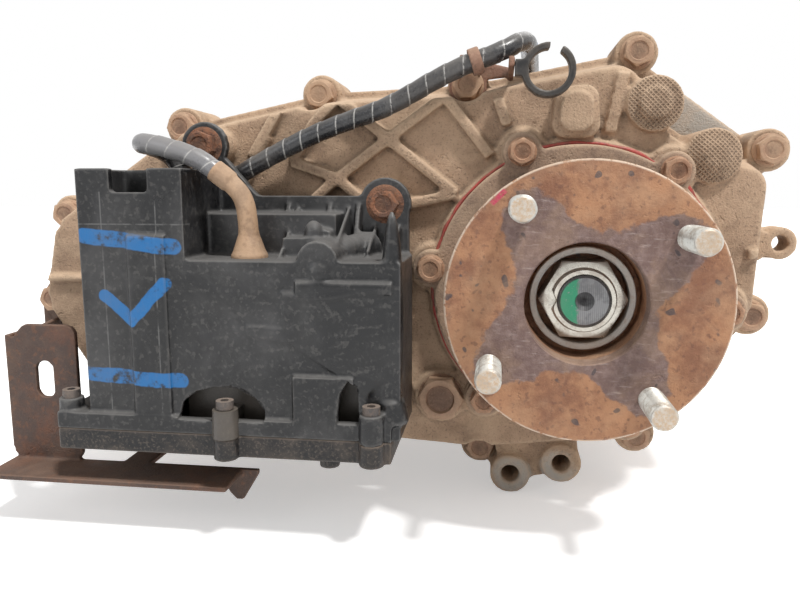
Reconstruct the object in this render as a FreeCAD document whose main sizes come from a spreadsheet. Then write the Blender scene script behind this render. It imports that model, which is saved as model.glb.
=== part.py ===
"""Two-speed, part-time transfer case with an electric shift actuator.

Frame, in millimetres: the origin is the centre of the rear companion flange's mating face, +Z is up,
+Y runs along the main shaft from the rear output towards the gearbox, and +X is to the right as seen
from behind.  The front output shaft lies parallel to the main shaft, to the left of it.
"""

import FreeCAD, Part
import math
import os
import re

import Sketcher

V = FreeCAD.Vector

# --------------------------------------------------------------------------- driving dimensions
SIZES = {
    # gear train
    "chain_pitch": (11.1125, "pitch of the silent chain"),
    "chain_links": (70, "links in the chain"),
    "chain_width": (30, "width of the chain along its pins"),
    "sprocket_teeth": (32, "teeth on each sprocket"),
    "gear_module": (1.85, "module of the planetary set"),
    "sun_teeth": (36, "teeth on the sun gear"),
    "planet_teeth": (12, "teeth on each planet gear"),
    "planet_count": (3, "planet gears in the carrier"),
    "gear_width": (24, "face width of the planetary set"),
    "backlash": (0.12, "slack taken from each tooth flank"),
    # stations along the main shaft
    "rear_wall_y": (60, "outer face of the rear case's wall"),
    "joint_y": (110, "parting plane of the two case halves"),
    "chain_wall_y": (158, "front face of the chain chamber"),
    "adapter_y": (302, "face that bolts to the gearbox"),
    "case_wall": (7, "wall of the castings"),
    "case_draft": (8, "inward lean of the chain chamber's walls"),
    "flange_rim": (10, "thickness of the bolted rims"),
    # companion flanges
    "flange_dia": (130, "outer diameter of the rear companion flange"),
    "flange_thick": (10, "thickness of the flange discs"),
    "flange_recess_dia": (56, "recess in the middle of the disc"),
    "flange_lip_dia": (49.6, "ring that stands round the nut"),
    "flange_lip_bore": (43.4, "bore of that ring"),
    "flange_lip_y": (17, "depth of the ring's end below the disc's face"),
    "nut_seat_y": (30, "depth of the nut's seat"),
    "hub_dia": (55, "seal track of the flange's hub"),
    "hub_length": (66, "length from the disc's face to the bearing"),
    "stud_circle_dia": (106, "circle of the flange studs"),
    "stud_dia": (12, "flange stud"),
    "stud_knurl_dia": (12.8, "knurl that holds a stud in its flange"),
    "stud_reach": (28, "length of a stud beyond the disc"),
    "stud_count": (4, "studs in each flange"),
    "stud_turn": (35, "angle of the first stud"),
    "front_flange_dia": (112, "outer diameter of the front companion flange"),
    "front_stud_circle_dia": (88, "circle of the front flange's studs"),
    # main shaft
    "shaft_dia": (35, "main shaft in the rear bearing"),
    "thread_dia": (24, "threaded end of the shafts"),
    "nut_width": (36, "flange nut across its flats"),
    "centre_hole_dia": (9, "lathe centre in the shaft's end"),
    "running_gap": (0.05, "radial clearance of a running fit"),
    "side_gap": (0.4, "clearance beside a moving piece"),
    # bearings
    "rear_bearing_od": (80, "rear main bearing"),
    "rear_bearing_width": (21, "rear main bearing"),
    "input_bearing_id": (50, "input bearing"),
    "input_bearing_od": (90, "input bearing"),
    "input_bearing_width": (20, "input bearing"),
    "front_bearing_id": (40, "front output bearing"),
    "front_bearing_od": (80, "front output bearing"),
    "front_bearing_width": (18, "front output bearing"),
    "needle_dia": (25, "rear journal of the front output shaft"),
    "needle_od": (33, "needle bearing's cup"),
    "needle_width": (17, "needle bearing's cup"),
    # bearing retainer
    "retainer_bolt_circle": (152, "circle of the retainer's bolts"),
    "retainer_bolt_count": (6, "bolts of the retainer"),
    "retainer_turn": (52.5, "angle of the first retainer bolt"),
    "retainer_thick": (7, "flange of the retainer"),
    "retainer_pad": (4, "height of the pad under the retainer"),
    "retainer_nose_dia": (84, "seal housing of the retainer"),
    "retainer_nose": (13, "how far the seal housing stands out"),
    "nose": (35.2, "outer face of the seal housing"),
    "gasket_thick": (0.8, "bead of sealant under the retainer"),
    "seal_od": (70, "outer diameter of the output seals"),
    "seal_width": (9, "width of the oil seals"),
    # case bolts
    "case_bolt_dia": (10, "bolts of the parting plane"),
    "case_bolt_hex": (14, "bolt heads across their flats"),
    "case_boss_dia": (23, "bosses round the case bolts"),
    "case_bolt_grip": (22, "rear boss under a bolt's head"),
    "small_bolt_dia": (8, "bolts of the retainer and actuator"),
    "small_bolt_hex": (12, "their heads across the flats"),
    # front case
    "bell_dia": (152, "barrel round the planetary set"),
    "adapter_dia": (196, "rim that meets the gearbox"),
    "adapter_bolt_circle": (176, "circle of the gearbox bolts"),
    "adapter_bolt_count": (8, "gearbox bolts"),
    "adapter_hole_dia": (11, "clearance holes for the gearbox bolts"),
    "pilot_bore_dia": (110, "spigot bore in the adapter face"),
    "input_spline_dia": (32, "female spline of the input shaft"),
    # shift mechanism
    "drum_x": (-118, "shift drum from the main shaft"),
    "drum_z": (-12, "shift drum from the main shaft"),
    "drum_dia": (34, "shift drum"),
    "cam_lead": (36, "slide of the mode fork in one turn of the drum"),
    "rail_x": (-96, "shift rail from the main shaft"),
    "rail_z": (22, "shift rail from the main shaft"),
    "rail_dia": (16, "shift rail"),
    "pod_dia": (92, "pod of the front case round drum and rail"),
}

# Case bolts as (angle, radius): about the front output shaft, then about the main shaft.
FRONT_LOBE_BOLTS = [(56.9, 125), (100, 89), (158.6, 99), (188.8, 104), (226, 98), (270, 97), (312, 128)]
MAIN_LOBE_BOLTS = [(244, 111), (294.4, 98), (349.7, 100), (395.1, 125.5), (435.7, 128), (478.6, 123)]

doc = FreeCAD.newDocument("TransferCase")
sheet = doc.addObject("Spreadsheet::Sheet", "Sizes")
for row, (alias, (value, meaning)) in enumerate(SIZES.items(), 1):
    sheet.set(f"A{row}", meaning)
    sheet.set(f"B{row}", str(value))
    sheet.setAlias(f"B{row}", alias)
doc.recompute()

ALIASES = re.compile(r"\b(" + "|".join(SIZES) + r")\b")
SUBPARTS = []


# --------------------------------------------------------------------------- document helpers
def bound(text):
    """An expression on the sheet, from one that uses bare aliases."""
    return ALIASES.sub(r"Sizes.\1", text)


def mm(text):
    """The value of an expression on the sheet."""
    return float(sheet.evalExpression(bound(text)))


def new_body(label, x="0", z="0"):
    """A PartDesign body whose own Y axis is the line (x, z) parallel to the main shaft."""
    body = doc.addObject("PartDesign::Body", label)
    body.setExpression("Placement.Base.x", bound(x))
    body.setExpression("Placement.Base.z", bound(z))
    SUBPARTS.append(body)
    return body


def new_sketch(body, role, offset="0"):
    """A sketch on an origin plane of its body, moved along the plane's normal."""
    sketch = body.newObject("Sketcher::SketchObject", body.Name + "_sketch")
    plane = next(o for o in body.Origin.OriginFeatures if o.Role == role)
    sketch.AttachmentSupport = [(plane, "")]
    sketch.MapMode = "FlatFace"
    sketch.setExpression("AttachmentOffset.Base.z", bound(offset))
    return sketch


def cross_sketch(body, y):
    """A sketch square to the main shaft at station y: its axes are X and Z."""
    return new_sketch(body, "XZ_Plane", f"-({y})")


def polygon(sketch, corners):
    """A closed outline of straight sides, each corner held by two bound dimensions."""
    points = [V(mm(x), mm(y), 0) for x, y in corners]
    first, start, count = sketch.GeometryCount, sketch.ConstraintCount, len(points)
    sides = [Part.LineSegment(points[i], points[(i + 1) % count]) for i in range(count)]
    sketch.addGeometry(sides, False)
    rules = []
    for i in range(count):
        rules.append(Sketcher.Constraint("Coincident", first + i, 2, first + (i + 1) % count, 1))
    for i, point in enumerate(points):
        rules.append(Sketcher.Constraint("DistanceX", first + i, 1, point.x))
        rules.append(Sketcher.Constraint("DistanceY", first + i, 1, point.y))
    sketch.addConstraint(rules)
    for i, (x, y) in enumerate(corners):
        sketch.setExpression(f"Constraints[{start + count + 2 * i}]", bound(x))
        sketch.setExpression(f"Constraints[{start + count + 2 * i + 1}]", bound(y))


def circle(sketch, radius, x="0", y="0"):
    """A circle whose radius and centre are bound to the sheet."""
    number, start = sketch.GeometryCount, sketch.ConstraintCount
    sketch.addGeometry(Part.Circle(V(mm(x), mm(y), 0), V(0, 0, 1), mm(radius)), False)
    sketch.addConstraint([
        Sketcher.Constraint("DistanceX", number, 3, mm(x)),
        Sketcher.Constraint("DistanceY", number, 3, mm(y)),
        Sketcher.Constraint("Radius", number, mm(radius)),
    ])
    for i, text in enumerate((x, y, radius)):
        sketch.setExpression(f"Constraints[{start + i}]", bound(text))


def pad(body, sketch, length):
    """Material from a cross sketch towards +Y."""
    feature = body.newObject("PartDesign::Pad", body.Name + "_pad")
    feature.Profile = sketch
    feature.Reversed = True
    feature.setExpression("Length", bound(length))
    return feature


def pocket(body, sketch, length):
    """A cut from a cross sketch towards +Y."""
    doc.recompute()
    before = body.Shape.Volume
    feature = body.newObject("PartDesign::Pocket", body.Name + "_pocket")
    feature.Profile = sketch
    feature.setExpression("Length", bound(length))
    doc.recompute()
    if body.Shape.Volume >= before:
        raise ValueError(f"{feature.Name} cuts nothing")
    return feature


def around(body, feature, count):
    """Repeats a feature evenly round the body's Y axis."""
    pattern = body.newObject("PartDesign::PolarPattern", body.Name + "_pattern")
    pattern.Originals = [feature]
    pattern.Axis = (next(o for o in body.Origin.OriginFeatures if o.Role == "Y_Axis"), [""])
    pattern.Angle = 360
    pattern.setExpression("Occurrences", bound(count))
    body.Tip = pattern
    return pattern


def turned(label, profile, x="0", z="0"):
    """A body of revolution about the line (x, z); the profile's corners are (radius, station)."""
    body = new_body(label, x, z)
    sketch = new_sketch(body, "XY_Plane")
    polygon(sketch, profile)
    doc.recompute()
    turning = body.newObject("PartDesign::Revolution", body.Name + "_turning")
    turning.Profile = sketch
    turning.ReferenceAxis = (sketch, ["V_Axis"])
    turning.Angle = 360
    return body


def tube(label, outer, inner, start, end, x="0", z="0"):
    """A plain ring from radius inner to radius outer."""
    return turned(label, [(inner, start), (outer, start), (outer, end), (inner, end)], x, z)


def feature(label, shape):
    """A sub-part whose shape is worked out in this file from the sheet's values."""
    made = doc.addObject("Part::Feature", label)
    made.Shape = shape
    SUBPARTS.append(made)
    return made


# --------------------------------------------------------------------------- shape helpers
def rod(radius, start, end, x=0.0, z=0.0):
    """A cylinder along Y."""
    return Part.makeCylinder(radius, end - start, V(x, start, z), V(0, 1, 0))


def prism(points, start, end):
    """A straight-sided prism along Y over the outline points (x, z)."""
    loop = [V(x, start, z) for x, z in points]
    return Part.Face(Part.makePolygon(loop + loop[:1])).extrude(V(0, end - start, 0))


def block(x, y, z):
    """A box between two values on each axis."""
    return Part.makeBox(x[1] - x[0], y[1] - y[0], z[1] - z[0], V(x[0], y[0], z[0]))


def polar(radius, angle, x=0.0, z=0.0):
    """The point (x, z) at an angle in degrees, counted from +X towards +Z."""
    turn = math.radians(angle)
    return x + radius * math.cos(turn), z + radius * math.sin(turn)


def rounded_wire(points, radius, y):
    """A closed wire through the outline points (x, z), its corners rounded where there is room."""
    count = len(points)
    corners = [V(x, y, z) for x, z in points]
    pieces = []
    for i, corner in enumerate(corners):
        before, after = corners[i - 1] - corner, corners[(i + 1) % count] - corner
        half = before.getAngle(after) / 2
        reach = min(radius / math.tan(half), 0.48 * before.Length, 0.48 * after.Length)
        before.normalize()
        after.normalize()
        middle = before + after
        middle.normalize()
        setback = reach / math.cos(half) - reach * math.tan(half)
        pieces.append((corner + before * reach, corner + middle * setback, corner + after * reach))
    edges = []
    for i, (start, middle, end) in enumerate(pieces):
        edges.append(Part.Arc(start, middle, end).toShape())
        edges.append(Part.LineSegment(end, pieces[(i + 1) % count][0]).toShape())
    return Part.Wire(edges)


def moved_outline(points, outward):
    """An outline (x, z), counter-clockwise, with every side moved outward."""
    count, moved = len(points), []
    for i, (x, z) in enumerate(points):
        before, after = points[i - 1], points[(i + 1) % count]
        first = V(x - before[0], z - before[1], 0).normalize()
        second = V(after[0] - x, after[1] - z, 0).normalize()
        normals = V(first.y, -first.x, 0), V(second.y, -second.x, 0)
        share = outward / (1 + normals[0].dot(normals[1]))
        moved.append((x + share * (normals[0].x + normals[1].x), z + share * (normals[0].y + normals[1].y)))
    return moved


def drafted(points, radius, start, end, start_offset, end_offset):
    """A drafted solid between two offsets of one outline."""
    near = rounded_wire(moved_outline(points, start_offset), radius, start)
    far = rounded_wire(moved_outline(points, end_offset), radius, end)
    return Part.makeLoft([near, far], True, True)


def belt(radius_a, radius_b, centre_b, start, end):
    """The hull of a circle about the main shaft and one about centre_b, extruded along Y."""
    distance = math.hypot(*centre_b)
    heading = math.atan2(centre_b[1], centre_b[0])
    lean = math.acos((radius_a - radius_b) / distance)
    points = []
    for side in (1, -1):
        turn = heading + side * lean
        points.append(V(radius_a * math.cos(turn), start, radius_a * math.sin(turn)))
        points.append(V(centre_b[0] + radius_b * math.cos(turn), start, centre_b[1] + radius_b * math.sin(turn)))
    back = V(-radius_a * math.cos(heading), start, -radius_a * math.sin(heading))
    tip = V(centre_b[0] + radius_b * math.cos(heading), start, centre_b[1] + radius_b * math.sin(heading))
    wire = Part.Wire([
        Part.LineSegment(points[0], points[1]).toShape(),
        Part.Arc(points[1], tip, points[3]).toShape(),
        Part.LineSegment(points[3], points[2]).toShape(),
        Part.Arc(points[2], back, points[0]).toShape(),
    ])
    return Part.Face(wire).extrude(V(0, end - start, 0))


def hexagon(width, start, end, x=0.0, z=0.0):
    """A hexagonal prism along Y, width across its flats."""
    return prism([polar(width / math.sqrt(3), 60 * i, x, z) for i in range(6)], start, end)


def toothed(count, inner, outer, share, start, end, turn=0.0):
    """A prism along Y with count straight-flanked teeth between two radii.

    share is the part of the pitch that a tooth fills at mid height; each tooth narrows outward.
    """
    pitch = 360 / count
    points = []
    for i in range(count):
        for radius, half in ((inner, share / 2 + 0.08), (outer, share / 2 - 0.08)):
            points.append((radius, turn + (i - half) * pitch))
        for radius, half in ((outer, share / 2 - 0.08), (inner, share / 2 + 0.08)):
            points.append((radius, turn + (i + half) * pitch))
    return prism([polar(radius, angle) for radius, angle in points], start, end)


def gear_outline(teeth, module, tip, root, slack):
    """The outline (x, z) of an involute gear with a tooth on +X; tip and root are in modules."""
    pressure = math.radians(20)
    pitch_radius = teeth * module / 2
    base_radius = pitch_radius * math.cos(pressure)

    def unwound(radius):
        angle = math.acos(min(1.0, base_radius / radius))
        return math.tan(angle) - angle

    half_tooth = (math.pi * module / 4 - slack) / pitch_radius + unwound(pitch_radius)
    low = max(base_radius, pitch_radius - root * module)
    high = pitch_radius + tip * module
    flank = [(pitch_radius - root * module, half_tooth - unwound(low))]
    for share in (0.35, 0.7, 1.0):
        radius = low + (high - low) * share
        flank.append((radius, half_tooth - unwound(radius)))
    points = []
    for i in range(teeth):
        middle = 2 * math.pi * i / teeth
        points += [(radius, middle - half) for radius, half in flank]
        points += [(radius, middle + half) for radius, half in reversed(flank)]
    return [polar(radius, math.degrees(angle)) for radius, angle in points]


def turned_outline(points, angle):
    """An outline turned about the origin, in degrees from +X towards +Z."""
    cosine, sine = math.cos(math.radians(angle)), math.sin(math.radians(angle))
    return [(x * cosine - z * sine, x * sine + z * cosine) for x, z in points]


def cap_screw(dia, head_width, length, head=None, washer=0.0):
    """A flanged hexagon screw along -Y: its seat is at the origin and its shank runs towards +Y."""
    head = head or dia * 0.8
    screw = hexagon(head_width, -head, 0).common(
        Part.makeCone(head_width * 0.52, head_width * 0.85, head, V(0, -head, 0), V(0, 1, 0)))
    screw = screw.fuse(rod(head_width * 0.64 + washer, -dia * 0.18, 0))
    screw = screw.fuse(rod(dia / 2, 0, length))
    dimple = rod(head_width * 0.3, -head - 1, -head + 0.5)
    return screw.cut(dimple).removeSplitter()


def placed(shape, x, y, z):
    """A copy of a shape, moved."""
    copy = shape.copy()
    copy.translate(V(x, y, z))
    return copy


def pipe(route, radius):
    """A tube of straight runs joined by tangent arcs, each as large as its two runs allow."""
    points = [V(*p) for p in route]
    edges, start = [], points[0]
    for i in range(1, len(points) - 1):
        back, ahead = points[i - 1] - points[i], points[i + 1] - points[i]
        reach = 0.45 * min(back.Length, ahead.Length)
        half = back.getAngle(ahead) / 2
        back.normalize()
        ahead.normalize()
        middle = (back + ahead).normalize()
        setback = reach / math.cos(half) - reach * math.tan(half)
        enter, leave = points[i] + back * reach, points[i] + ahead * reach
        edges.append(Part.LineSegment(start, enter).toShape())
        edges.append(Part.Arc(enter, points[i] + middle * setback, leave).toShape())
        start = leave
    edges.append(Part.LineSegment(start, points[-1]).toShape())
    path = Part.Wire(edges)
    section = Part.Wire(Part.makeCircle(radius, points[0], points[1] - points[0]))
    swept = path.makePipeShell([section], True, False)
    expected = math.pi * radius ** 2 * path.Length
    if abs(swept.Volume / expected - 1) > 0.02:
        raise ValueError("the pipe's volume is not its section times its length")
    return swept, path.Length


# --------------------------------------------------------------------------- values used below
GAP = mm("running_gap")
FRONT_X = -mm("chain_pitch") * (mm("chain_links") - mm("sprocket_teeth")) / 2
PITCH_RADIUS = mm("chain_pitch") / (2 * math.sin(math.pi / mm("sprocket_teeth")))
WALL_Y, JOINT_Y, CHAIN_WALL_Y = mm("rear_wall_y"), mm("joint_y"), mm("chain_wall_y")
PAD_Y = WALL_Y - mm("retainer_pad")
CASE_WALL, DRAFT, RIM = mm("case_wall"), mm("case_draft"), mm("flange_rim")
FRONT_BOLTS = [polar(radius, angle, FRONT_X) for angle, radius in FRONT_LOBE_BOLTS]
MAIN_BOLTS = [polar(radius, angle) for angle, radius in MAIN_LOBE_BOLTS]
CASE_BOLTS = FRONT_BOLTS + MAIN_BOLTS
RECESS = [polar(100, 44), polar(100, 64)]
RIM_OUTLINE = CASE_BOLTS
CHAMBER_OUTLINE = FRONT_BOLTS + MAIN_BOLTS[:4] + RECESS + MAIN_BOLTS[4:]
RETAINER_BOLTS = [
    polar(mm("retainer_bolt_circle") / 2, mm("retainer_turn") + 60 * i) for i in range(6)]
EAR_BOLTS = [(-194.3, 73.8), (-98.3, 43.9), (-254, -34)]
GUARD_BOLTS = (3, 5)
BRACKET_BOLT = 12
SHEET_METAL = 3
LUG_HOLES = [(-30.8, -111.9), (-2.1, -104.2)]
DOWELS = [polar(98, 292, FRONT_X), polar(101, 12)]
FILL_PLUG, DRAIN_PLUG = (-70, -61.8), (-165, -62)
DRUM, RAIL = (mm("drum_x"), mm("drum_z")), (mm("rail_x"), mm("rail_z"))
POD = (-107, 5)
SWITCH = (-20, 205)
MODE_TEETH, RANGE_SPLINES, RANGE_TEETH = 36, 24, 32

# --------------------------------------------------------------------------- rear output
main_shaft = turned("main_shaft", [
    ("0", "14"), ("centre_hole_dia / 2", "8"), ("thread_dia / 2 - 1", "8"), ("thread_dia / 2", "9"),
    ("thread_dia / 2", "nut_seat_y + 1"), ("15", "nut_seat_y + 1"), ("15", "hub_length"),
    ("shaft_dia / 2", "hub_length"), ("shaft_dia / 2", "hub_length + rear_bearing_width"),
    ("21", "hub_length + rear_bearing_width"), ("21", "93"), ("19", "93"), ("19", "139.4"),
    ("30", "139.4"), ("30", "161"), ("17", "161"), ("17", "223"), ("10", "223"), ("10", "246"),
    ("0", "246")])
mode_hub = doc.addObject("Part::Feature", "mode_hub_teeth")
mode_hub.Shape = toothed(MODE_TEETH, 29.5, 33, 0.42, 139.4, 161).cut(rod(25, 139, 162))
range_spline = doc.addObject("Part::Feature", "range_spline_teeth")
range_spline.Shape = toothed(RANGE_SPLINES, 16.5, 20, 0.42, 186, 223).cut(rod(12, 185, 225))


def fused(label, body, *others):
    """A sub-part that joins a body with other shapes."""
    joined = doc.addObject("Part::MultiFuse", label)
    joined.Shapes = [body, *others]
    joined.Refine = True
    body.Label = label + "_blank"
    joined.Label = label
    SUBPARTS.remove(body)
    SUBPARTS.append(joined)
    return joined


main_shaft = fused("main_shaft", main_shaft, mode_hub, range_spline)

rear_flange = turned("rear_flange", [
    ("flange_recess_dia / 2", "0"), ("flange_dia / 2 - 1", "0"), ("flange_dia / 2", "1"),
    ("flange_dia / 2", "flange_thick - 1"), ("flange_dia / 2 - 1", "flange_thick"),
    ("40", "flange_thick"), ("36", "flange_thick + 4"), ("36", "28"), ("hub_dia / 2", "34"),
    ("hub_dia / 2", "hub_length"), ("15", "hub_length"), ("15", "nut_seat_y"),
    ("flange_lip_bore / 2", "nut_seat_y"), ("flange_lip_bore / 2", "flange_lip_y"),
    ("flange_lip_dia / 2", "flange_lip_y"), ("flange_lip_dia / 2", "26"),
    ("flange_recess_dia / 2", "26")])


def stud_holes(body, circle_dia, start):
    """The holes for a companion flange's studs."""
    sketch = cross_sketch(body, start)
    radius = f"{circle_dia} / 2"
    circle(sketch, "stud_knurl_dia / 2", f"{radius} * cos(stud_turn)", f"{radius} * sin(stud_turn)")
    around(body, pocket(body, sketch, "flange_thick + 2"), "stud_count")


def studs(label, circle_dia, face, sign, x="0"):
    """Studs that stand out of a flange's face, in the direction sign along Y."""
    reach, thick, radius = mm("stud_reach"), mm("flange_thick"), mm("stud_dia") / 2
    stud = rod(radius, -reach + 1.5, 0).fuse(
        Part.makeCone(radius - 1.5, radius, 1.5, V(0, -reach, 0), V(0, 1, 0)))
    stud = stud.fuse(rod(mm("stud_knurl_dia") / 2, 0, thick))
    stud = stud.fuse(rod(radius * 1.5, thick, thick + 4.5)).removeSplitter()
    if sign > 0:
        stud.rotate(V(0, 0, 0), V(0, 0, 1), 180)
    made = []
    for i in range(int(mm("stud_count"))):
        px, pz = polar(mm(circle_dia) / 2, mm("stud_turn") + 90 * i, mm(x))
        made.append(placed(stud, px, mm(face), pz))
    return feature(label, Part.makeCompound(made))


def flange_nut(label, seat, sign, x=0.0):
    """A hexagon nut with a staked collar; it bears on the plane y = seat."""
    width, bore = mm("nut_width"), mm("thread_dia") / 2
    nut = hexagon(width, -17, 0).common(
        Part.makeCone(width * 0.5, width * 0.5 + 17, 17, V(0, -17, 0), V(0, 1, 0)))
    nut = nut.fuse(rod(width * 0.41, -20.5, -16)).cut(rod(bore, -22, 1))
    nut = nut.cut(rod(2, -21, -17, -width * 0.41)).removeSplitter()
    if sign > 0:
        nut.rotate(V(0, 0, 0), V(0, 0, 1), 180)
    return feature(label, placed(nut, x, seat, 0))


stud_holes(rear_flange, "stud_circle_dia", "-1")
studs("rear_studs", "stud_circle_dia", "0", -1)
flange_nut("rear_nut", mm("nut_seat_y"), -1)


def ball_bearing(name, inner, outer, start, width, x=0.0):
    """An outer ring with its balls and cage, and a separate inner ring."""
    pitch, ball = (inner + outer) / 2, (outer - inner) * 0.29
    middle = start + width / 2
    outer_ring = rod(outer, start, start + width, x).cut(rod(pitch + ball * 0.45, start, start + width, x))
    inner_ring = rod(pitch - ball * 0.45, start, start + width, x).cut(rod(inner, start, start + width, x))
    centre = V(x, middle, 0)
    outer_ring = outer_ring.cut(Part.makeTorus(pitch, ball - 0.2, centre, V(0, 1, 0)))
    inner_ring = inner_ring.cut(Part.makeTorus(pitch, ball + 2 * GAP, centre, V(0, 1, 0)))
    balls = []
    for i in range(9):
        bx, bz = polar(pitch, 40 * i, x)
        balls.append(Part.makeSphere(ball, V(bx, middle, bz)))
    feature(name, outer_ring.multiFuse(balls))
    feature(name + "_inner", inner_ring)


def oil_seal(name, inner, outer, start, x=0.0):
    """A lip seal whose outer side faces -Y."""
    end = start + mm("seal_width")
    body = rod(outer, start, end, x).cut(rod(inner + 2, start, end, x))
    lip = Part.makeCone(inner + 2.5, inner + 1, 3, V(x, start + 1, 0), V(0, 1, 0))
    lip = lip.fuse(rod(inner + 2.5, start + 4, start + 7, x)).cut(rod(inner + GAP, start, end, x))
    feature(name, body.fuse(lip).removeSplitter())


ball_bearing("rear_bearing", mm("shaft_dia") / 2, mm("rear_bearing_od") / 2,
             mm("hub_length"), mm("rear_bearing_width"))
oil_seal("rear_oil_seal", mm("hub_dia") / 2, mm("seal_od") / 2, mm("hub_length") - 30)

# --------------------------------------------------------------------------- rear bearing retainer
NOSE_Y = PAD_Y - mm("gasket_thick") - mm("retainer_thick") - mm("retainer_nose")
rear_retainer = turned("rear_retainer", [
    ("seal_od / 2", "nose"), ("retainer_nose_dia / 2 - 1", "nose"), ("retainer_nose_dia / 2", "nose + 1"),
    ("retainer_nose_dia / 2", "nose + retainer_nose"), ("74", "nose + retainer_nose"),
    ("74", "nose + retainer_nose + retainer_thick"),
    ("rear_bearing_od / 2", "nose + retainer_nose + retainer_thick"),
    ("rear_bearing_od / 2", "hub_length"), ("36", "hub_length"), ("36", "48"), ("31", "48"),
    ("31", "45"), ("seal_od / 2", "45")])
ear = cross_sketch(rear_retainer, "nose + retainer_nose")
EAR_X = "retainer_bolt_circle / 2 * cos(retainer_turn)"
EAR_Z = "retainer_bolt_circle / 2 * sin(retainer_turn)"
circle(ear, "small_bolt_dia / 2 + 6", EAR_X, EAR_Z)
around(rear_retainer, pad(rear_retainer, ear, "retainer_thick"), "retainer_bolt_count")
hole = cross_sketch(rear_retainer, "nose + retainer_nose - 1")
circle(hole, "small_bolt_dia / 2", EAR_X, EAR_Z)
around(rear_retainer, pocket(rear_retainer, hole, "retainer_thick + 2"), "retainer_bolt_count")


bead = rod(74.8, PAD_Y - mm("gasket_thick"), PAD_Y).multiFuse(
    [rod(10.8, PAD_Y - mm("gasket_thick"), PAD_Y, x, z) for x, z in RETAINER_BOLTS])
bead = bead.cut(rod(mm("rear_bearing_od") / 2, 0, WALL_Y))
for x, z in RETAINER_BOLTS:
    bead = bead.cut(rod(mm("small_bolt_dia") / 2, 0, WALL_Y, x, z))
feature("retainer_gasket", bead.removeSplitter())

small_screw = cap_screw(mm("small_bolt_dia"), mm("small_bolt_hex"), 24)
feature("retainer_bolts", Part.makeCompound(
    [placed(small_screw, x, NOSE_Y + mm("retainer_nose"), z) for x, z in RETAINER_BOLTS]))

# --------------------------------------------------------------------------- transfer of drive
chain_start, chain_end = 95, 95 + mm("chain_width")


def chain_outline(side):
    """One side of the chain's outline, link after link round both sprockets."""
    pitch = mm("chain_pitch")
    run_links = round(-FRONT_X / pitch)
    arc_links = int(mm("sprocket_teeth")) // 2
    step = 2 * math.pi / mm("sprocket_teeth")
    level = PITCH_RADIUS * math.cos(step / 2)
    links = []
    for i in range(run_links):
        links.append(((-(i + 0.5) * pitch, level), math.pi / 2))
    for i in range(arc_links):
        turn = math.pi / 2 + (i + 0.5) * step
        links.append((polar(level, math.degrees(turn), FRONT_X), turn))
    for i in range(run_links):
        links.append(((FRONT_X + (i + 0.5) * pitch, -level), -math.pi / 2))
    for i in range(arc_links):
        turn = -math.pi / 2 + (i + 0.5) * step
        links.append((polar(level, math.degrees(turn)), turn))
    points = []
    for (x, z), out in links:
        for along, rise in side:
            px = x + rise * math.cos(out) - along * math.sin(out)
            pz = z + rise * math.sin(out) + along * math.cos(out)
            points.append((px, pz))
    return points


LINK_BACK = [(-5.3, 2.6), (-3.6, 4.4), (3.6, 4.4), (5.3, 2.6)]
LINK_FRONT = [(-5.0, -0.7), (5.0, -0.7)]
chain = prism(chain_outline(LINK_BACK), chain_start, chain_end).cut(
    prism(chain_outline(LINK_FRONT), chain_start - 1, chain_end + 1))
feature("drive_chain", chain)


def sprocket(start, end, turn):
    """The toothed rim of a sprocket with its web."""
    teeth = int(mm("sprocket_teeth"))
    blank = toothed(teeth, PITCH_RADIUS - 5.9, PITCH_RADIUS - 1.4, 0.26, start, end, turn)
    for face in (start, end - 8):
        blank = blank.cut(rod(46, face - 0.01, face + 8.01).cut(rod(30, face - 1, face + 9)))
    return blank


drive = sprocket(94, 126, 0).fuse(rod(30, 94, 128)).fuse(toothed(MODE_TEETH, 29.5, 33, 0.42, 128, 139))
drive = drive.fuse(rod(28, 127, 139)).cut(rod(19 + GAP, 90, 142)).removeSplitter()
feature("drive_sprocket", drive)

driven = sprocket(94, 126, 0).fuse(rod(30, 94, 126)).cut(rod(19, 90, 130)).removeSplitter()
feature("driven_sprocket", placed(driven, FRONT_X, 0, 0))

sleeve = rod(42, 141, 157).cut(rod(45, 146, 152).cut(rod(37, 145, 153)))
sleeve_bore = rod(30.4, 140, 158).fuse(toothed(MODE_TEETH, 30.0, 33.4, 0.54, 140, 158))
feature("mode_sleeve", sleeve.cut(sleeve_bore).removeSplitter())

collar = rod(30, 182, 194).cut(rod(31, 185, 191).cut(rod(24, 184, 192)))
collar = collar.fuse(rod(22.6, 193, 222)).fuse(toothed(RANGE_TEETH, 22.3, 27, 0.42, 216, 222))
collar_bore = rod(17.3, 181, 223).fuse(toothed(RANGE_SPLINES, 17.0, 20.3, 0.54, 181, 223))
feature("range_sleeve", collar.cut(collar_bore).removeSplitter())

# --------------------------------------------------------------------------- planetary set
MODULE, SLACK = mm("gear_module"), mm("backlash")
SUN, PLANET = int(mm("sun_teeth")), int(mm("planet_teeth"))
RING = SUN + 2 * PLANET
GEAR_START, GEAR_END = 211, 211 + mm("gear_width")
CARRIER_RADIUS = (SUN + PLANET) * MODULE / 2


def dog_bore(start, end):
    """The hollow that takes the range sleeve's teeth."""
    return toothed(RANGE_TEETH, 23.6, 27.4, 0.54, start, end).fuse(rod(24, start, end))


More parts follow.
